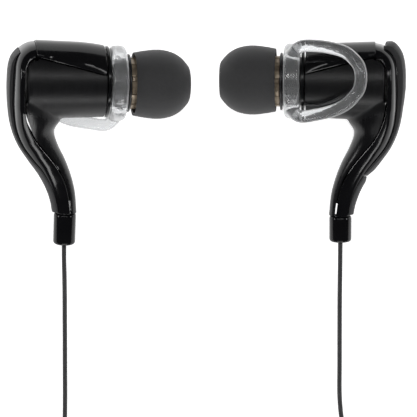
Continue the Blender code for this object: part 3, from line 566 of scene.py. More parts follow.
def add_node(mat, kind, operation=None, **inputs):
    """A shader node with its operation and its named inputs set."""
    node = mat.node_tree.nodes.new("ShaderNode" + kind)
    if operation:
        node.operation = operation
    for socket, value in inputs.items():
        node.inputs[socket.replace("_", " ")].default_value = value
    return node


def ranged(mat, source, out_of, into):
    """A value carried from one range into another."""
    spread = add_node(mat, "MapRange", From_Min=out_of[0], From_Max=out_of[1],
                      To_Min=into[0], To_Max=into[1])
    mat.node_tree.links.new(source, spread.inputs["Value"])
    return spread.outputs["Result"]


def ramped(mat, source, *stops):
    """A value carried onto a ramp with two (position, colour) stops."""
    ramp = add_node(mat, "ValToRGB")
    for element, (position, colour) in zip(ramp.color_ramp.elements, stops):
        element.position = position
        element.color = (*colour, 1.0)
    mat.node_tree.links.new(source, ramp.inputs["Fac"])
    return ramp.outputs["Color"]


def grain(mat, shader, scale, low, high, bump=0.0, stretch=None, detail=4.0, depth=0.02):
    """Roughness that wanders between two values, and a bump of the same grain."""
    link = mat.node_tree.links.new
    source = add_node(mat, "TexCoord").outputs["Object"]
    noise = add_node(mat, "TexNoise", Scale=scale, Detail=detail)
    if stretch:
        mapping = add_node(mat, "Mapping", Rotation=stretch[0], Scale=stretch[1])
        mapping.vector_type = "TEXTURE"
        link(source, mapping.inputs["Vector"])
        source = mapping.outputs["Vector"]
    link(source, noise.inputs["Vector"])
    roughness = ranged(mat, noise.outputs["Fac"], GRAIN_SPREAD, (low, high))
    link(roughness, shader.inputs["Roughness"])
    if bump:
        raised = add_node(mat, "Bump", Strength=bump, Distance=depth * MM)
        link(noise.outputs["Fac"], raised.inputs["Height"])
        link(raised.outputs["Normal"], shader.inputs["Normal"])
    return noise


def tinted(mat, shader, noise, dark, light):
    """Let a grain carry the colour between two tones."""
    tone = ramped(mat, noise.outputs["Fac"], (GRAIN_SPREAD[0], dark), (GRAIN_SPREAD[1], light))
    mat.node_tree.links.new(tone, shader.inputs["Base Color"])


def finish(name, colour, rough, scale, tones, bump=0.0, stretch=None, detail=4.0, metallic=0.0,
           **sockets):
    """A grained finish. rough is its plain roughness, then the two values it wanders between."""
    mat, shader, fresh = shader_of(name, colour, rough[0], metallic, **sockets)
    if fresh:
        noise = grain(mat, shader, scale, rough[1], rough[2], bump, stretch, detail)
        tinted(mat, shader, noise, *tones)
    return mat


def shades(colour, spread=0.18):
    """A darker and a lighter tone of a colour."""
    return [c * (1 - spread) for c in colour], [min(1.0, c * (1 + spread)) for c in colour]


def gloss_black():
    look = bpy.context.scene.earphone_finish
    rough = look.gloss_roughness
    return finish("gloss_black", look.gloss_colour, (rough, rough * 0.8, rough * 1.35), 220.0,
                  shades(look.gloss_colour), Specular_IOR_Level=0.25, Coat_Weight=0.06,
                  Coat_Roughness=0.04)


def satin_barrel(side):
    """Moulded satin plastic with a fine grain round the barrel's axis."""
    look = bpy.context.scene.earphone_finish
    mat, shader, fresh = shader_of(side + "_satin_barrel", look.satin_colour, look.satin_roughness,
                                   Specular_IOR_Level=0.36)
    if fresh:
        where = lay_matrix(side)
        low = look.satin_roughness
        noise = grain(mat, shader, 900.0, low * 0.85, low * 1.2, 0.6,
                      (where.to_euler(), (0.12, 3.0, 3.0)))
        tinted(mat, shader, noise, *shades(look.satin_colour, 0.3))
        polished_stem(mat, shader, where, look.stem_polish)
    return mat


def polished_stem(mat, shader, where, share):
    """Let the roughness fall to a share of itself where the skin leaves the barrel's cylinder."""
    link = mat.node_tree.links.new
    rough = shader.inputs["Roughness"].links[0].from_socket
    offset = add_node(mat, "VectorMath", "SUBTRACT")
    offset.inputs[1].default_value = where.translation
    across = add_node(mat, "VectorMath", "CROSS_PRODUCT")
    across.inputs[1].default_value = (where.to_3x3() @ Vector((1, 0, 0))).normalized()
    distance = add_node(mat, "VectorMath", "LENGTH")
    product = add_node(mat, "Math", "MULTIPLY")
    link(add_node(mat, "TexCoord").outputs["Object"], offset.inputs[0])
    link(offset.outputs["Vector"], across.inputs[0])
    link(across.outputs["Vector"], distance.inputs[0])
    edges = [(REAR_RADIUS + out) * MM for out in POLISH_FADE]
    link(rough, product.inputs[0])
    link(ranged(mat, distance.outputs["Value"], edges, (1.0, share)), product.inputs[1])
    link(product.outputs["Value"], shader.inputs["Roughness"])


def satin_black():
    look = bpy.context.scene.earphone_finish
    rough = look.satin_roughness
    return finish("satin_black", look.satin_colour, (rough, rough * 0.85, rough * 1.2), 2600.0,
                  shades(look.satin_colour, 0.3), 0.35)


def soft_grey():
    """Matte silicone with a faint powdery bloom."""
    look = bpy.context.scene.earphone_finish
    rough = look.soft_roughness
    return finish("soft_grey", look.soft_colour, (rough, rough * 0.9, min(1.0, rough * 1.12)),
                  1500.0, shades(look.soft_colour, 0.14), 0.4, detail=8.0, Sheen_Weight=0.12,
                  Sheen_Roughness=0.5)


def clear_silicone():
    """Silicone that is clear face on and milky at its edges."""
    look = bpy.context.scene.earphone_finish
    mat, shader, fresh = shader_of("clear_silicone", look.clear_colour, 0.05,
                                   Transmission_Weight=1.0, IOR=1.41)
    if fresh:
        grain(mat, shader, 650.0, 0.02, 0.13, 1.0, detail=2.0, depth=0.16)
        facing = add_node(mat, "LayerWeight", Blend=0.5)
        clarity = ranged(mat, facing.outputs["Facing"], (0.3, 0.8),
                         (look.clear_centre, look.clear_edge))
        mat.node_tree.links.new(clarity, shader.inputs["Transmission Weight"])
    return mat


def film():
    mat, shader, fresh = shader_of("film", (0.7, 0.66, 0.55), 0.2, Transmission_Weight=0.6)
    if fresh:
        grain(mat, shader, 900.0, 0.12, 0.28)
    return mat


def bronze_tint():
    look = bpy.context.scene.earphone_finish
    return finish("bronze_tint", look.bronze_colour, (0.34, 0.26, 0.46), 1100.0,
                  shades(look.bronze_colour, 0.25), 0.3, metallic=0.35)


def steel():
    return finish("steel", (0.55, 0.55, 0.56), (0.3, 0.22, 0.4), 1800.0,
                  ((0.47, 0.47, 0.48), (0.6, 0.6, 0.61)), 0.3, ((0, 0, 0), (1.0, 0.08, 1.0)),
                  metallic=1.0)


def wire_mesh():
    """The nozzle's woven screen: fine cells that are dark between bright wires."""
    mat, shader, fresh = shader_of("wire_mesh", (0.5, 0.5, 0.5), 0.35, 1.0)
    if fresh:
        link = mat.node_tree.links.new
        cells = add_node(mat, "TexVoronoi", Scale=3600.0, Randomness=0.0)
        link(add_node(mat, "TexCoord").outputs["Object"], cells.inputs["Vector"])
        tone = ramped(mat, cells.outputs["Distance"], (0.28, (0.01, 0.01, 0.01)),
                      (0.42, (0.5, 0.5, 0.5)))
        link(tone, shader.inputs["Base Color"])
        raised = add_node(mat, "Bump", Distance=0.05 * MM)
        link(cells.outputs["Distance"], raised.inputs["Height"])
        link(raised.outputs["Normal"], shader.inputs["Normal"])
    return mat


def gold_plate():
    return finish("gold_plate", (0.83, 0.61, 0.25), (0.2, 0.14, 0.3), 1500.0,
                  ((0.76, 0.54, 0.2), (0.86, 0.65, 0.28)), 0.15, ((0, 0, 0), (1.0, 0.1, 1.0)),
                  metallic=1.0)


def copper():
    return finish("copper", (0.6, 0.27, 0.13), (0.35, 0.28, 0.42), 2400.0,
                  ((0.5, 0.2, 0.09), (0.66, 0.31, 0.16)), 0.6, ((0, 0, 0), (0.1, 1.0, 1.0)),
                  metallic=1.0)


def board_green():
    return finish("board_green", (0.02, 0.09, 0.04), (0.45, 0.35, 0.55), 1300.0,
                  ((0.014, 0.07, 0.03), (0.028, 0.12, 0.055)), 0.3)


def cord_jacket():
    look = bpy.context.scene.earphone_finish
    return finish("cord_jacket", look.cord_colour, (0.5, 0.42, 0.6), 1900.0,
                  shades(look.cord_colour, 0.15), 0.4)


# --- what the user may change -------------------------------------------------------------

class EarphoneShape(bpy.types.PropertyGroup):
    """How finely the pieces are made."""
    facets: IntProperty(name="Facets", description="Facets round a large turned piece",
                        default=72, min=24, max=160)
    voxel: FloatProperty(name="Skin detail", description="Grid of the melted skins, in millimetres",
                         default=0.2, min=0.12, max=0.6)
    fillet: IntProperty(name="Fillet softness",
                        description="Smoothing passes where barrel meets stem",
                        default=22, min=0, max=80)
    edge: FloatProperty(name="Edge rounding",
                        description="Rounding of moulded edges, in millimetres",
                        default=0.16, min=0.02, max=0.4)


class EarphoneFinish(bpy.types.PropertyGroup):
    """Colours and roughness of the finishes."""
    gloss_colour: FloatVectorProperty(name="Gloss black", description="Shell and cover colour",
                                      subtype="COLOR", default=(0.006, 0.006, 0.007), min=0, max=1)
    gloss_roughness: FloatProperty(name="Gloss roughness",
                                   description="Roughness of shell and cover",
                                   subtype="FACTOR", default=0.13, min=0, max=1)
    satin_colour: FloatVectorProperty(name="Satin black",
                                      description="Barrel, stem and sleeve colour",
                                      subtype="COLOR", default=(0.007, 0.007, 0.008), min=0, max=1)
    satin_roughness: FloatProperty(name="Satin roughness",
                                   description="Roughness of barrel and stem",
                                   subtype="FACTOR", default=0.38, min=0, max=1)
    stem_polish: FloatProperty(name="Stem polish",
                               description="Stem roughness as a share of the barrel's",
                               subtype="FACTOR", default=0.55, min=0, max=1)
    soft_colour: FloatVectorProperty(name="Soft grey", description="Ear tip, pad and flap colour",
                                     subtype="COLOR", default=(0.045, 0.045, 0.047), min=0, max=1)
    soft_roughness: FloatProperty(name="Soft roughness", description="Roughness of the silicone",
                                  subtype="FACTOR", default=0.72, min=0, max=1)
    clear_colour: FloatVectorProperty(name="Clear silicone", description="Tint of the stabilisers",
                                      subtype="COLOR", default=(0.82, 0.83, 0.84), min=0, max=1)
    clear_centre: FloatProperty(name="Clarity facing",
                                description="How clear the silicone is face on",
                                subtype="FACTOR", default=0.86, min=0, max=1)
    clear_edge: FloatProperty(name="Clarity at edges", description="How clear it is at its edges",
                              subtype="FACTOR", default=0.22, min=0, max=1)
    bronze_colour: FloatVectorProperty(name="Bronze",
                                       description="Colour of the ring behind the tip",
                                       subtype="COLOR", default=(0.36, 0.29, 0.21), min=0, max=1)
    cord_colour: FloatVectorProperty(name="Cord", description="Colour of the cord's jacket",
                                     subtype="COLOR", default=(0.055, 0.055, 0.057), min=0, max=1)


class EarphoneStage(bpy.types.PropertyGroup):
    """Camera, floor and light."""
    height: FloatProperty(name="Camera height", description="How far above the table the camera is",
                          subtype="DISTANCE", default=0.448, min=0.1, max=2)
    lens: FloatProperty(name="Lens", description="Focal length in millimetres", default=200.0,
                        min=20, max=400)
    floor_light: FloatProperty(name="Floor glow", description="How brightly the table shines",
                               default=0.92, min=0, max=3)
    room: FloatProperty(name="Room light", description="Strength of the light from all round",
                        default=0.04, min=0, max=2)
    key: FloatProperty(name="Softbox power", description="Power of each low side strip",
                       subtype="POWER", default=0.6, min=0, max=20)
    top: FloatProperty(name="Top strip power", description="Power of the narrow strip overhead",
                       subtype="POWER", default=1.1, min=0, max=20)


# --- pieces -------------------------------------------------------------------------------

def barrel_and_stem(side, shape):
    """The satin barrel, melted into the inner half of the stem."""
    overrun = 1.0
    front = BARREL_FRONT + overrun
    profile = [(BARREL_REAR, REAR_RADIUS - 0.3), (BARREL_REAR + 0.3, REAR_RADIUS),
               (front, barrel_radius(front))]
    barrel = turned(side + "_barrel_and_stem", profile, shape.facets, ends="fill")
    rings = []
    count = 40
    for k in range(count):
        place = WEB_TOP + (LAST - WEB_TOP) * k / (count - 1)
        _, inner, half = station(place)
        edge = read_at(FRONT_EDGE, place - FIRST_WEB_STATION)
        along = (edge - inner).normalized()
        length = (edge - inner).length + WEB_OVERRUN
        rings.append(arch(inner - along * WEB_OVERRUN, along, length, half - WEB_INSET, 24, 2.1))
    rings.append([point + Vector((0, 0, -overrun)) for point in rings[-1]])
    stem = drawn(side + "_stem", rings)
    body = melted(barrel, stem, shape.voxel, shape.fillet)
    for place, facing in (((BARREL_FRONT, 0, 0), (1, 0, 0)), ((0, 0, STEM_FOOT), (0, 0, -1))):
        editing(body)
        bpy.ops.mesh.select_all(action="SELECT")
        bpy.ops.mesh.bisect(plane_co=place, plane_no=facing, use_fill=True, clear_outer=True)
        bpy.ops.object.mode_set(mode="OBJECT")
    cut(body, drawn("shell_space", shell_space_rings()))
    cavity = [(CAVITY_REAR, CAVITY_RADIUS), (BARREL_FRONT + overrun, CAVITY_RADIUS)]
    cut(body, turned("cavity", cavity, shape.facets, ends="fill"))
    cut(body, drawn("channel", tube_rings(wire_route(), CHANNEL_RADIUS, 20)))
    if side == "right":
        cut(body, socket_pocket())
    seat = cover_rings(GAP, COVER_INNER - GAP, 4.0, COVER_REAR - GAP, BARREL_FRONT + 2)
    return cut(body, drawn("cover_seat", seat))


def wire_route():
    """Down the stem from the barrel's cavity to the stem's foot and a little past it."""
    return spaced([(9.0, 0, -3.6), (7.6, 0, -6.0), (6.2, 0, -9.2), (7.6, 0, -13.2), (9.6, 0, -17.0),
                   (10.95, 0, -20.6), (11.5, 0, -24.0), (11.55, 0, STEM_FOOT - 1.0)], 0.8)


def socket_pocket():
    """What the charging socket takes out of the right shell and the barrel's rear wall."""
    half_height = SOCKET_HEIGHT / 2 + GAP
    half_width = SOCKET_WIDTH / 2 + GAP
    return case("pocket", (-2.0, -half_width, -half_height),
                (CAVITY_REAR + 1.0, half_width, half_height), CASE_ROUNDING)


def shell_space_rings():
    """What the shell takes out of the barrel and stem, with its clearance."""
    rings = []
    count = 40
    for k in range(count):
        inner, out, height, half = back_at(LAST * k / (count - 1))
        height += 3.0
        if k == 0:
            inner = inner + Vector((GAP, 0))
        if k == count - 1:
            inner = inner - Vector((0, 1.0))
        rings.append(arch(inner - out * GAP, out, height, half + 2.0, 16, 6.0))
    return rings


def cover_rings(grow, inner_radius, outer_extra, rear, front, stations=9, samples=16):
    """Rings of the top cover, or of its seat when grow is over zero."""
    rings = []
    for k in range(stations):
        x = rear + (front - rear) * k / (stations - 1)
        share = min(max((x - COVER_REAR) / (BARREL_FRONT - COVER_REAR), 0.0), 1.0)
        reach = COVER_REAR_ANGLE + (COVER_FRONT_ANGLE - COVER_REAR_ANGLE) * share
        half = math.radians(reach) + grow / REAR_RADIUS
        droop = max(0.0, share - 0.55) ** 2 * 2.2
        facet = COVER_CHAMFER[0] + (COVER_CHAMFER[1] - COVER_CHAMFER[0]) * share
        over, under = [], []
        for i in range(samples + 1):
            turn = half * (2 * i / samples - 1)
            inboard = (half - abs(turn)) * REAR_RADIUS
            lift = min(1.0, inboard / facet)
            crown = 0.25 * max(0.0, 1 - (turn / half) ** 2)
            rise = (COVER_CREST - droop) * (0.75 * lift + crown)
            radius = barrel_radius(x) + COVER_EDGE + rise + outer_extra
            over.append(Vector((x, radius * math.sin(turn), radius * math.cos(turn))))
            under.append(Vector((x, inner_radius * math.sin(turn), inner_radius * math.cos(turn))))
        rings.append(over + under[::-1])
    return rings


def gloss_cover(side, shape):
    rings = cover_rings(0.0, COVER_INNER, 0.0, COVER_REAR - GAP, BARREL_FRONT, 25, 40)
    return chamfered(drawn(side + "_gloss_cover", rings), 0.9 * shape.edge, 38)


def gloss_shell(side, shape):
    rings = []
    count = 90
    for k in range(count):
        inner, out, height, half = back_at(k * LAST / (count - 1))
        ring = arch(inner, out, height, half, 30)
        ring += reversed(arch(inner, out, height - SHELL_WALL, half - SHELL_WALL, 30))
        rings.append(ring)
    shell = drawn(side + "_gloss_shell", rings)
    if side == "right":
        cut(shell, socket_pocket())
    return chamfered(shell, 1.4 * shape.edge, 50)


def soft_strip(name, depths, first, last, half_width, count, ease, thin, hinged=False):
    """The soft strip that lies over the shell's middle, thinned towards its upper end.

    A hinged one thins at its foot too.
    """
    rings = []
    samples = 12
    for k in range(count):
        place = first + (last - first) * k / (count - 1)
        inner, out, height, half = back_at(place)
        width = min(half_width, STRIP_SHARE * half)
        share = min(1.0, (place - first) / ease)
        share = thin + (1 - thin) * math.sin(share * math.pi / 2)
        if hinged:
            share *= HINGE_THIN + (1 - HINGE_THIN) * min(1.0, (last - place) / HINGE_EASE)
        thick = max(read_at(depths, place), GAP + 0.25) * share
        under, over = [], []
        for i in range(-samples, samples + 1):
            across = width * i / samples
            rise = (1 - abs(across / half) ** 2.5) ** 0.4
            edge = 1 - 0.35 * abs(i / samples) ** 3
            low = inner + out * (height * rise + SEAM)
            high = inner + out * (height * rise + SEAM + (thick - SEAM) * edge)
            under.append(Vector((low.x, across, low.y)))
            over.append(Vector((high.x, across, high.y)))
        rings.append(under + over[::-1])
    return chamfered(drawn(name, rings), 0.12, 45)


def sleeve(side):
    top = STEM_FOOT - SEAM
    foot = STEM_FOOT - GAP - SLEEVE_LENGTH[side]
    bore = BRANCH / 2 + GAP
    profile = eased([(top, bore), (top, SLEEVE_RADIUS), (foot, SLEEVE_RADIUS), (foot, bore)],
                    SLEEVE_ROUNDING)
    return turned(side + "_sleeve_boot", profile, 48, "Z", (SLEEVE_CENTRE, 0, 0))


def front_ring(side, shape):
    outer, bore = FRONT_RADIUS + 0.1, NECK_RADIUS + GAP
    rear, front = RING_REAR, RING_REAR + RING_THICKNESS
    profile = eased([(rear, bore), (rear, outer), (front, outer), (front, bore)], 0.12)
    return turned(side + "_black_ring", profile, shape.facets)


def sound_tube(side, shape):
    """The plate that closes the barrel, its neck, its flange and the tube that the tip grips."""
    lip = NOZZLE_RADIUS + NOZZLE_LIP
    counterbore = NOZZLE_BORE + GAP
    profile = [(PLATE_REAR, NOZZLE_BORE), (PLATE_REAR, CAVITY_RADIUS - GAP),
               (PLATE_FRONT, CAVITY_RADIUS - GAP), (PLATE_FRONT, NECK_RADIUS),
               (FLANGE_REAR, NECK_RADIUS), (FLANGE_REAR, FLANGE_RADIUS),
               (FLANGE_FRONT, FLANGE_RADIUS), (FLANGE_FRONT, NOZZLE_RADIUS),
               (NOZZLE_FRONT - 1.6, NOZZLE_RADIUS), (NOZZLE_FRONT - 1.2, lip),
               (NOZZLE_FRONT, lip), (NOZZLE_FRONT, counterbore),
               (NOZZLE_FRONT - 0.8, counterbore), (NOZZLE_FRONT - 0.8, NOZZLE_BORE)]
    return turned(side + "_sound_tube", eased(profile, 0.1, 2), shape.facets)


def bronze_ring(side):
    """The ring behind the tip, with a row of sunk windows round its rim."""
    windows, facets_each = 12, 6
    rear, front = BRONZE_REAR - GAP + SEAM, BRONZE_REAR + BRONZE_WIDTH
    profile = [(rear, NOZZLE_RADIUS + GAP), (rear, BRONZE_RADIUS), (front, BRONZE_RADIUS - 0.1),
               (front, NOZZLE_RADIUS + GAP)]
    ring = turned(side + "_bronze_ring", profile, windows * facets_each)

    def on_window(face):
        middle = face.calc_center_median()
        place = math.atan2(middle.z, middle.y) / math.tau * windows
        radius = math.hypot(middle.y, middle.z)
        return radius > BRONZE_RADIUS - 0.6 and abs(face.normal.x) < 0.6 and place % 1 < 0.5

    return sunk(ring, on_window, 0.16, -0.18)


def silicone_tip(side, shape):
    """A dome whose thin skirt folds back over a thick core."""
    end = TIP_REAR + TIP_LENGTH
    bore = NOZZLE_RADIUS + NOZZLE_LIP + GAP
    r = TIP_RADIUS
    dome = smooth([(end, TIP_OPENING, 0), (end, TIP_OPENING + 0.8, 0), (end - 0.5, 0.60 * r, 0),
                   (end - 1.8, 0.80 * r, 0), (end - 3.6, 0.94 * r, 0), (end - 6.0, r, 0),
                   (end - 8.6, 0.965 * r, 0), (TIP_REAR + TIP_SETBACK, 0.91 * r, 0)], 7)
    outer = []
    for point in dome:
        near = abs(point.x - TIP_PARTING)
        outer.append((point.x, point.y - 0.03 * max(0.0, 1 - near / 0.35)))
    inner = [(TIP_REAR + TIP_SETBACK, 0.91 * r - TIP_WALL), (end - 8.4, 0.965 * r - TIP_WALL),
             (end - 5.8, r - TIP_WALL - 0.05), (end - 3.4, 0.92 * r - TIP_WALL),
             (end - 2.6, 0.72 * r), (end - 3.0, bore + 0.9), (CORE_REAR, bore + 0.8),
             (CORE_REAR, bore),
             (NOZZLE_FRONT + 0.5, bore), (NOZZLE_FRONT + 0.8, TIP_OPENING)]
    return turned(side + "_silicone_tip", outer + eased(inner, 0.3, 3)[2:-2], shape.facets + 24)


def clear_loop(side, shape):
    """The collar and its loop, melted into one piece of clear silicone."""
    front = COLLAR_REAR + COLLAR_WIDTH
    bore = NECK_RADIUS + GAP
    crest = [(COLLAR_REAR, COLLAR_RADIUS - 0.7), (COLLAR_REAR + 0.6, COLLAR_RADIUS - 0.1),
             ((COLLAR_REAR + front) / 2, COLLAR_RADIUS), (front - 0.6, COLLAR_RADIUS - 0.1),
             (front, COLLAR_RADIUS - 0.7)]
    crest = [(p.x, p.y) for p in smooth([(x, y, 0) for x, y in crest], 5)]
    collar = turned(side + "_clear_loop", [(COLLAR_REAR, bore)] + crest + [(front, bore)],
                    shape.facets)
    lay = Matrix.Rotation(math.radians(LOOP_TURN[side]), 3, "X")
    press = Vector((1, LOOP_PRESS[side], 1))
    route = [lay @ (point * press) + Vector((COLLAR_REAR, 0, 0))
             for point in spaced(LOOP_ROUTE, 0.5)]
    loop = drawn(side + "_loop", tube_rings(route, LOOP_RADIUS, 24))
    return melted(collar, loop, 0.85 * shape.voxel, 8)


class EARPHONE_OT_housings(bpy.types.Operator):
    """Model both barrels with their stems, gloss shells, covers and sleeves"""
    bl_idname = "earphone.housings"
    bl_label = "Housings"

    def execute(self, context):
        shape = context.scene.earphone_shape
        for side in LAID:
            where = lay_matrix(side)
            settle(barrel_and_stem(side, shape), where, satin_barrel(side), ROOT, "satin_black",
                   side + "_inner_housing", angle=42)
            settle(gloss_shell(side, shape), where, gloss_black(), ROOT, "gloss_black",
                   side + "_outer_shell")
            settle(gloss_cover(side, shape), where, gloss_black(), ROOT, "gloss_black",
                   side + "_top_cover", angle=14)
            settle(sleeve(side), where, gloss_black(), ROOT, "satin_black",
                   side + "_cable_sleeve")
        return {"FINISHED"}


class EARPHONE_OT_necks(bpy.types.Operator):
    """Model what stands between each barrel and its ear tip"""
    bl_idname = "earphone.necks"
    bl_label = "Rings and sound tubes"

    def execute(self, context):
        shape = context.scene.earphone_shape
        for side in LAID:
            where = lay_matrix(side)
            settle(front_ring(side, shape), where, gloss_black(), ROOT, "gloss_black",
                   side + "_front_ring")
            settle(sound_tube(side, shape), lay_matrix(side, "tube"), satin_black(), ROOT,
                   "satin_black", side + "_nozzle")
            settle(bronze_ring(side), lay_matrix(side, "bronze"), bronze_tint(), ROOT,
                   "bronze_tint", side + "_neck_ring")
        return {"FINISHED"}


class EARPHONE_OT_ear_tips(bpy.types.Operator):
    """Model the silicone ear tips"""
    bl_idname = "earphone.ear_tips"
    bl_label = "Ear tips"

    def execute(self, context):
        for side in LAID:
            settle(silicone_tip(side, context.scene.earphone_shape), lay_matrix(side, "tip"),
                   soft_grey(), side + "_tip", "soft_grey", side + "_ear_tip")
        return {"FINISHED"}


class EARPHONE_OT_stabilisers(bpy.types.Operator):
    """Model the clear stabilisers with their loops"""
    bl_idname = "earphone.stabilisers"
    bl_label = "Stabilisers"

    def execute(self, context):
        for side in LAID:
            settle(clear_loop(side, context.scene.earphone_shape), lay_matrix(side, "collar"),
                   clear_silicone(), side + "_loop", "clear_silicone", side + "_stabiliser",
                   angle=60)
        return {"FINISHED"}


class EARPHONE_OT_soft_strips(bpy.types.Operator):
    """Model the left rear pad, and the right flap with its fixed foot"""
    bl_idname = "earphone.soft_strips"
    bl_label = "Rear pad and flap"

    def execute(self, context):
        pad = soft_strip("left_soft_pad", PAD_DEPTHS, PAD_FIRST, STRIP_LAST, PAD_HALF_WIDTH, 70,
                         2.2, 0.15)
        settle(pad, lay_matrix("left"), soft_grey(), ROOT, "soft_grey", "left_rear_pad")
        flap = soft_strip("right_soft_flap", FLAP_DEPTHS, FLAP_FIRST, FLAP_HINGE,
                          FLAP_HALF_WIDTH, 60, 0.7, 0.55, hinged=True)
        settle(flap, lay_matrix("right"), soft_grey(), "flap", "soft_grey", "right_port_flap")
        foot = soft_strip("right_flap_foot", FLAP_DEPTHS, FLAP_HINGE + 0.12, STRIP_LAST,
                          FLAP_HALF_WIDTH, 30, 0.3, 0.45)
        settle(foot, lay_matrix("right"), soft_grey(), ROOT, "soft_grey", "right_strip_root")
        return {"FINISHED"}


def box_mm(node):
    """A CAD node's lowest and highest corners, in millimetres."""
    low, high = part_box(node)
    return Vector(low) / MM, Vector(high) / MM


class EARPHONE_OT_remote(bpy.types.Operator):
    """Model the in-line remote's two case halves and its three buttons"""
    bl_idname = "earphone.remote"
    bl_label = "Remote"

    def execute(self, context):
        low, high = box_mm("remote_base")
        wall, rise = Vector((REMOTE_WALL, REMOTE_WALL, 0)), Vector((0, 0, REMOTE_WALL))
        over = Vector((0, 0, 1))
        base = case("remote_lower_case", low, high, CASE_ROUNDING)
        hollow = case("hollow", low + wall + rise, high - wall + over, 0.1)
        settle(cut(base, hollow), FLAT, satin_black(), ROOT, "satin_black", "remote_base")
        low, high = box_mm("remote_cover")
        cover = case("remote_upper_case", low, high, 0.6, 6)
        cut(cover, case("hollow", low + wall - over, high - wall - rise, 0.1))
        for body, node in (("volume_up", "button_up"), ("play", "button_play"),
                           ("volume_down", "button_down")):
            near, far = box_mm(node)
            rim = Vector((BUTTON_LIP, BUTTON_LIP, 0))
            gap = Vector((GAP, GAP, 0))
            near, far = near + rim, far - rim
            cut(cover, case("window", near - gap, far + gap + over, 0.12))
            cap = case(node + "_cap", near, far, 0.3)
            sunk(cap, facing_up, 0.5, -0.12)
            drop = Vector((0, 0, near.z + BUTTON_LIP - far.z))
            foot = case("rim", near - rim, far + rim + drop, 0.1)
            settle(cut(cap, foot, "UNION"), FLAT, satin_black(), body, "satin_black", node)
        settle(cover, FLAT, gloss_black(), ROOT, "gloss_black", "remote_cover")
        return {"FINISHED"}


class EARPHONE_OT_splitter(bpy.types.Operator):
    """Model the splitter and the chin slider"""
    bl_idname = "earphone.splitter"
    bl_label = "Splitter and slider"

    def execute(self, context):
        low, high = box_mm("splitter")
        splitter = case("cord_splitter", low, high, 0.9, 6)
        sunk(splitter, facing_up, 0.5, -0.15)
        settle(splitter, FLAT, satin_black(), ROOT, "satin_black", "splitter")
        low, high = box_mm("chin_slider")
        slider = case("slider_bead", low, high, 0.7, 6)
        for offset in (-PAIR_OFFSET, PAIR_OFFSET):
            radius = BRANCH / 2 + GAP
            ends = [(low.y - 1, radius), (high.y + 1, radius)]
            cut(slider, turned("bore", ends, 32, "Y", (offset, 0, PAIR_HEIGHT), ends="fill"))
        settle(slider, FLAT, satin_black(), "slider", "satin_black", "chin_slider")
        return {"FINISHED"}


class EARPHONE_OT_plug(bpy.types.Operator):
    """Model the jack plug: ribbed grip, insulator and four contacts"""
    bl_idname = "earphone.plug"
    bl_label = "Plug"

    def execute(self, context):
        centre = (PLUG_AXIS[0], 0, PLUG_AXIS[1])
        y = PLUG_TAIL
        front = y + GRIP_LENGTH
        neck = MAIN / 2 + 0.7
        grip = [(y, 0.05), (y, neck)]
        for k in range(4):                    # strain relief ribs
            grip += [(y + 0.7 + k, neck), (y + 0.8 + k, neck - 0.25), (y + 1.1 + k, neck - 0.25),
                     (y + 1.2 + k, neck)]
        grip += [(y + 5.0, GRIP_RADIUS - 0.4), (y + 6.0, GRIP_RADIUS), (front - 0.5, GRIP_RADIUS),
                 (front, GRIP_RADIUS - 0.5), (front, 0.05)]
        settle(turned("jack_grip", grip, 64, "Y", centre, "fill"), FLAT, satin_black(), ROOT,
               "satin_black", "plug_grip")
        low = front + GAP
        end = low + JACK_LENGTH
        bore = JACK_CORE_RADIUS + GAP
        core = [(low, JACK_CORE_RADIUS)]
        for node, length in JACK_CONTACTS:
            high = low + length
            contact = eased([(low, bore), (low, JACK_RADIUS), (high, JACK_RADIUS), (high, bore)],
                            0.1)
            settle(turned(node + "_band", contact, 48, "Y", centre), FLAT, gold_plate(), ROOT,
                   "gold_plate", node)
            near, far = high + JACK_SPACE / 4, high + 3 * JACK_SPACE / 4
            core += [(near, JACK_CORE_RADIUS), (near, JACK_RADIUS - 0.1), (far, JACK_RADIUS - 0.1),
                     (far, JACK_CORE_RADIUS)]
            low = high + JACK_SPACE
        settle(turned("jack_insulator", core[:-1], 48, "Y", centre, "fill"), FLAT, satin_black(),
               ROOT, "satin_black", "plug_insulator")
        waist, knob = 0.66 * JACK_RADIUS, 0.83 * JACK_RADIUS
        nose = [(low, JACK_RADIUS, 0), (end - 2.4, waist, 0), (end - 1.7, waist, 0),
                (end - 1.1, knob, 0), (end - 0.4, 0.9, 0), (end, 0.05, 0)]
        nose = [(p.x, p.y) for p in smooth(nose, 6)]
        settle(turned("jack_tip", nose, 48, "Y", centre, "fill"), FLAT, gold_plate(), ROOT,
               "gold_plate", "plug_tip")
        return {"FINISHED"}


def wound(centre, turns, count, start, sense, diameter):
    """A cord's points round a coil, where each turn keeps its own radius and layer."""
    per_turn = 36
    slip = 0.22                # share of a turn in which the cord moves to its next place
    bed, rise = 0.52, 0.88     # the lowest layer's height, and each one's above it, in diameters
    points = []
    for k in range(round(count * per_turn) + 1):
        phase = k / per_turn
        here = min(int(phase), len(turns) - 1)
        ahead = min(here + 1, len(turns) - 1)
        share = max(0.0, (phase - int(phase) - (1 - slip)) / slip)
        share = share * share * (3 - 2 * share)
        radius = turns[here][0] * (1 - share) + turns[ahead][0] * share
        layer = turns[here][1] * (1 - share) + turns[ahead][1] * share
        angle = start + sense * math.tau * phase
        points.append(Vector((centre[0] + radius * math.cos(angle),
                              centre[1] + radius * math.sin(angle),
                              diameter * (bed + rise * layer))))
    return points


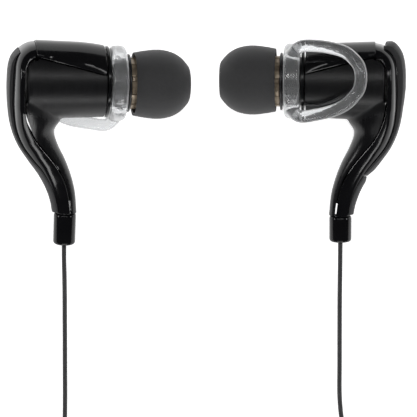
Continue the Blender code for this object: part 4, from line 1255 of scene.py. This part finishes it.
def cord(name, stretches, diameter):
    """One open spline through all of a cord's stretches, and its length in metres."""
    points = []
    for stretch in stretches:
        points += stretch
    curve = bpy.data.curves.new(name, "CURVE")
    curve.dimensions = "3D"
    curve.bevel_depth = diameter / 2 * MM
    curve.bevel_resolution = 3
    curve.use_fill_caps = True
    spline = curve.splines.new("POLY")
    spline.points.add(len(points) - 1)
    for spot, point in zip(spline.points, points):
        spot.co = (*(point * MM), 1.0)
    obj = bpy.data.objects.new(name, curve)
    bpy.context.collection.objects.link(obj)
    curve.materials.append(cord_jacket())
    spline.use_smooth = True
    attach(obj, ROOT)
    return obj, sum((b - a).length for a, b in zip(points, points[1:])) * MM


class EARPHONE_OT_cords(bpy.types.Operator):
    """Lay the branch cords and the main cord, with the spare length wound into coils"""
    bl_idname = "earphone.cords"
    bl_label = "Cords"

    def execute(self, context):
        step = 1.2
        left, length = cord("left_branch_cord", [
            spaced(LEFT_RUN, step), wound(LEFT_COIL, LEFT_TURNS, LEFT_WINDS, math.pi, 1, BRANCH),
            spaced(LEFT_TAIL, step)], BRANCH)
        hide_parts("left_cord_run", "left_cord_coil", "left_cord_tail")
        Vector(LEFT_RUN[0]) * MM
        upper, length = cord("right_branch_cord", [spaced(RIGHT_RUN, step)], BRANCH)
        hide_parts("right_cord_run")
        Vector(RIGHT_RUN[0]) * MM
        lower, length = cord("right_lower_cord", [
            spaced(RIGHT_LINK, step), wound(RIGHT_COIL, RIGHT_TURNS, RIGHT_WINDS, 0.0, 1, BRANCH),
            spaced(RIGHT_TAIL, step)], BRANCH)
        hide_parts("right_cord_link", "right_cord_coil", "right_cord_tail")
        Vector(RIGHT_LINK[0]) * MM
        main_cord, length = cord("main_cord", [
            spaced(MAIN_RUN, step), wound(MAIN_COIL, MAIN_TURNS, MAIN_WINDS, 0.0, -1, MAIN),
            spaced(MAIN_TAIL, step)], MAIN)
        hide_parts("main_cord_run", "main_cord_coil", "main_cord_tail")
        Vector(MAIN_RUN[0]) * MM
        return {"FINISHED"}


class EARPHONE_OT_inner_pieces(bpy.types.Operator):
    """Give the drivers, boards, cell and other inner pieces their finishes"""
    bl_idname = "earphone.inner_pieces"
    bl_label = "Inner pieces"

    def execute(self, context):
        finishes = {"inner_lead": cord_jacket, "nozzle_mesh": wire_mesh, "driver_frame": steel,
                    "diaphragm": film, "driver_magnet": steel, "voice_coil": copper}
        chosen = {"charge_socket": steel, "charge_board": board_green, "cell": steel,
                  "remote_board": board_green}
        for side in LAID:
            for ending, finish in finishes.items():
                chosen[side + "_" + ending] = finish
        for node, finish in chosen.items():
            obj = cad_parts[node]
            obj.data.materials.clear()
            obj.data.materials.append(finish())
        return {"FINISHED"}


def softbox(name, place, size, power):
    """A rectangular light that is aimed at the table's middle."""
    light = bpy.data.lights.new(name, "AREA")
    light.shape = "RECTANGLE"
    light.size, light.size_y = size
    light.energy = power
    obj = bpy.data.objects.new(name, light)
    bpy.context.collection.objects.link(obj)
    obj.location = place
    obj.rotation_euler = (-Vector(place)).to_track_quat("-Z", "Y").to_euler()


class EARPHONE_OT_stage(bpy.types.Operator):
    """Set up the table, the softboxes, the room light and the camera"""
    bl_idname = "earphone.stage"
    bl_label = "Stage"

    def execute(self, context):
        scene = context.scene
        stage = scene.earphone_stage
        deselect()
        bpy.ops.mesh.primitive_plane_add(size=3.0, location=(0, 0, 0))
        floor = bpy.context.object
        floor.name = "table_top"
        mat, shader, fresh = shader_of("table_white", (0.9, 0.9, 0.9), 0.8,
                                       Emission_Color=(1, 1, 1, 1),
                                       Emission_Strength=stage.floor_light)
        if fresh:
            grain(mat, shader, 40.0, 0.75, 0.9)
        floor.data.materials.append(mat)
        softbox("strip_left", (-0.55, 0.10, 0.26), (0.22, 0.08), stage.key)
        softbox("strip_right", (0.55, 0.10, 0.26), (0.22, 0.08), stage.key)
        softbox("strip_front", (0.0, -0.5, 0.24), (0.5, 0.08), 1.6 * stage.key)
        softbox("strip_top", (0.0, 0.17, 0.62), (0.80, 0.06), stage.top)
        world = bpy.data.worlds.new("studio")
        world.use_nodes = True
        background = world.node_tree.nodes["Background"]
        background.inputs["Color"].default_value = (1, 1, 1, 1)
        background.inputs["Strength"].default_value = stage.room
        scene.world = world
        scene.view_settings.view_transform = "Standard"
        camera = bpy.data.cameras.new("camera")
        camera.lens = stage.lens
        camera.sensor_width = 36.0
        camera.clip_start = 0.01
        seat = bpy.data.objects.new("camera", camera)
        scene.collection.objects.link(seat)
        seat.location = (*CAMERA_PLACE, stage.height)
        scene.camera = seat
        return {"FINISHED"}


class EARPHONE_PT_panel(bpy.types.Panel):
    """Every step of the model, in order, with the sizes and colours that it reads"""
    bl_label = "Earphones"
    bl_idname = "EARPHONE_PT_panel"
    bl_space_type = "VIEW_3D"
    bl_region_type = "UI"
    bl_category = "Earphones"

    def draw(self, context):
        for group in ("earphone_shape", "earphone_finish", "earphone_stage"):
            settings = getattr(context.scene, group)
            box = self.layout.box()
            for key in settings.__annotations__:
                box.prop(settings, key)
        for operator in OPERATORS:
            self.layout.operator(operator.bl_idname)


GROUPS = {"earphone_shape": EarphoneShape, "earphone_finish": EarphoneFinish,
          "earphone_stage": EarphoneStage}
OPERATORS = [EARPHONE_OT_stage, EARPHONE_OT_remote, EARPHONE_OT_splitter, EARPHONE_OT_plug,
             EARPHONE_OT_cords, EARPHONE_OT_housings, EARPHONE_OT_necks, EARPHONE_OT_ear_tips,
             EARPHONE_OT_stabilisers, EARPHONE_OT_soft_strips, EARPHONE_OT_inner_pieces]


def register():
    for cls in [*GROUPS.values(), *OPERATORS, EARPHONE_PT_panel]:
        bpy.utils.register_class(cls)
    for name, group in GROUPS.items():
        setattr(bpy.types.Scene, name, PointerProperty(type=group))


def unregister():
    for name in GROUPS:
        delattr(bpy.types.Scene, name)
    for cls in reversed([*GROUPS.values(), *OPERATORS, EARPHONE_PT_panel]):
        bpy.utils.unregister_class(cls)


def main():
    register()
    bpy.ops.earphone.stage()
    bpy.ops.earphone.remote()
    bpy.ops.earphone.splitter()
    bpy.ops.earphone.plug()
    bpy.ops.earphone.cords()
    bpy.ops.earphone.housings()
    bpy.ops.earphone.necks()
    bpy.ops.earphone.ear_tips()
    bpy.ops.earphone.stabilisers()
    bpy.ops.earphone.soft_strips()
    bpy.ops.earphone.inner_pieces()
    deselect()


if __name__ == "__main__":
    main()
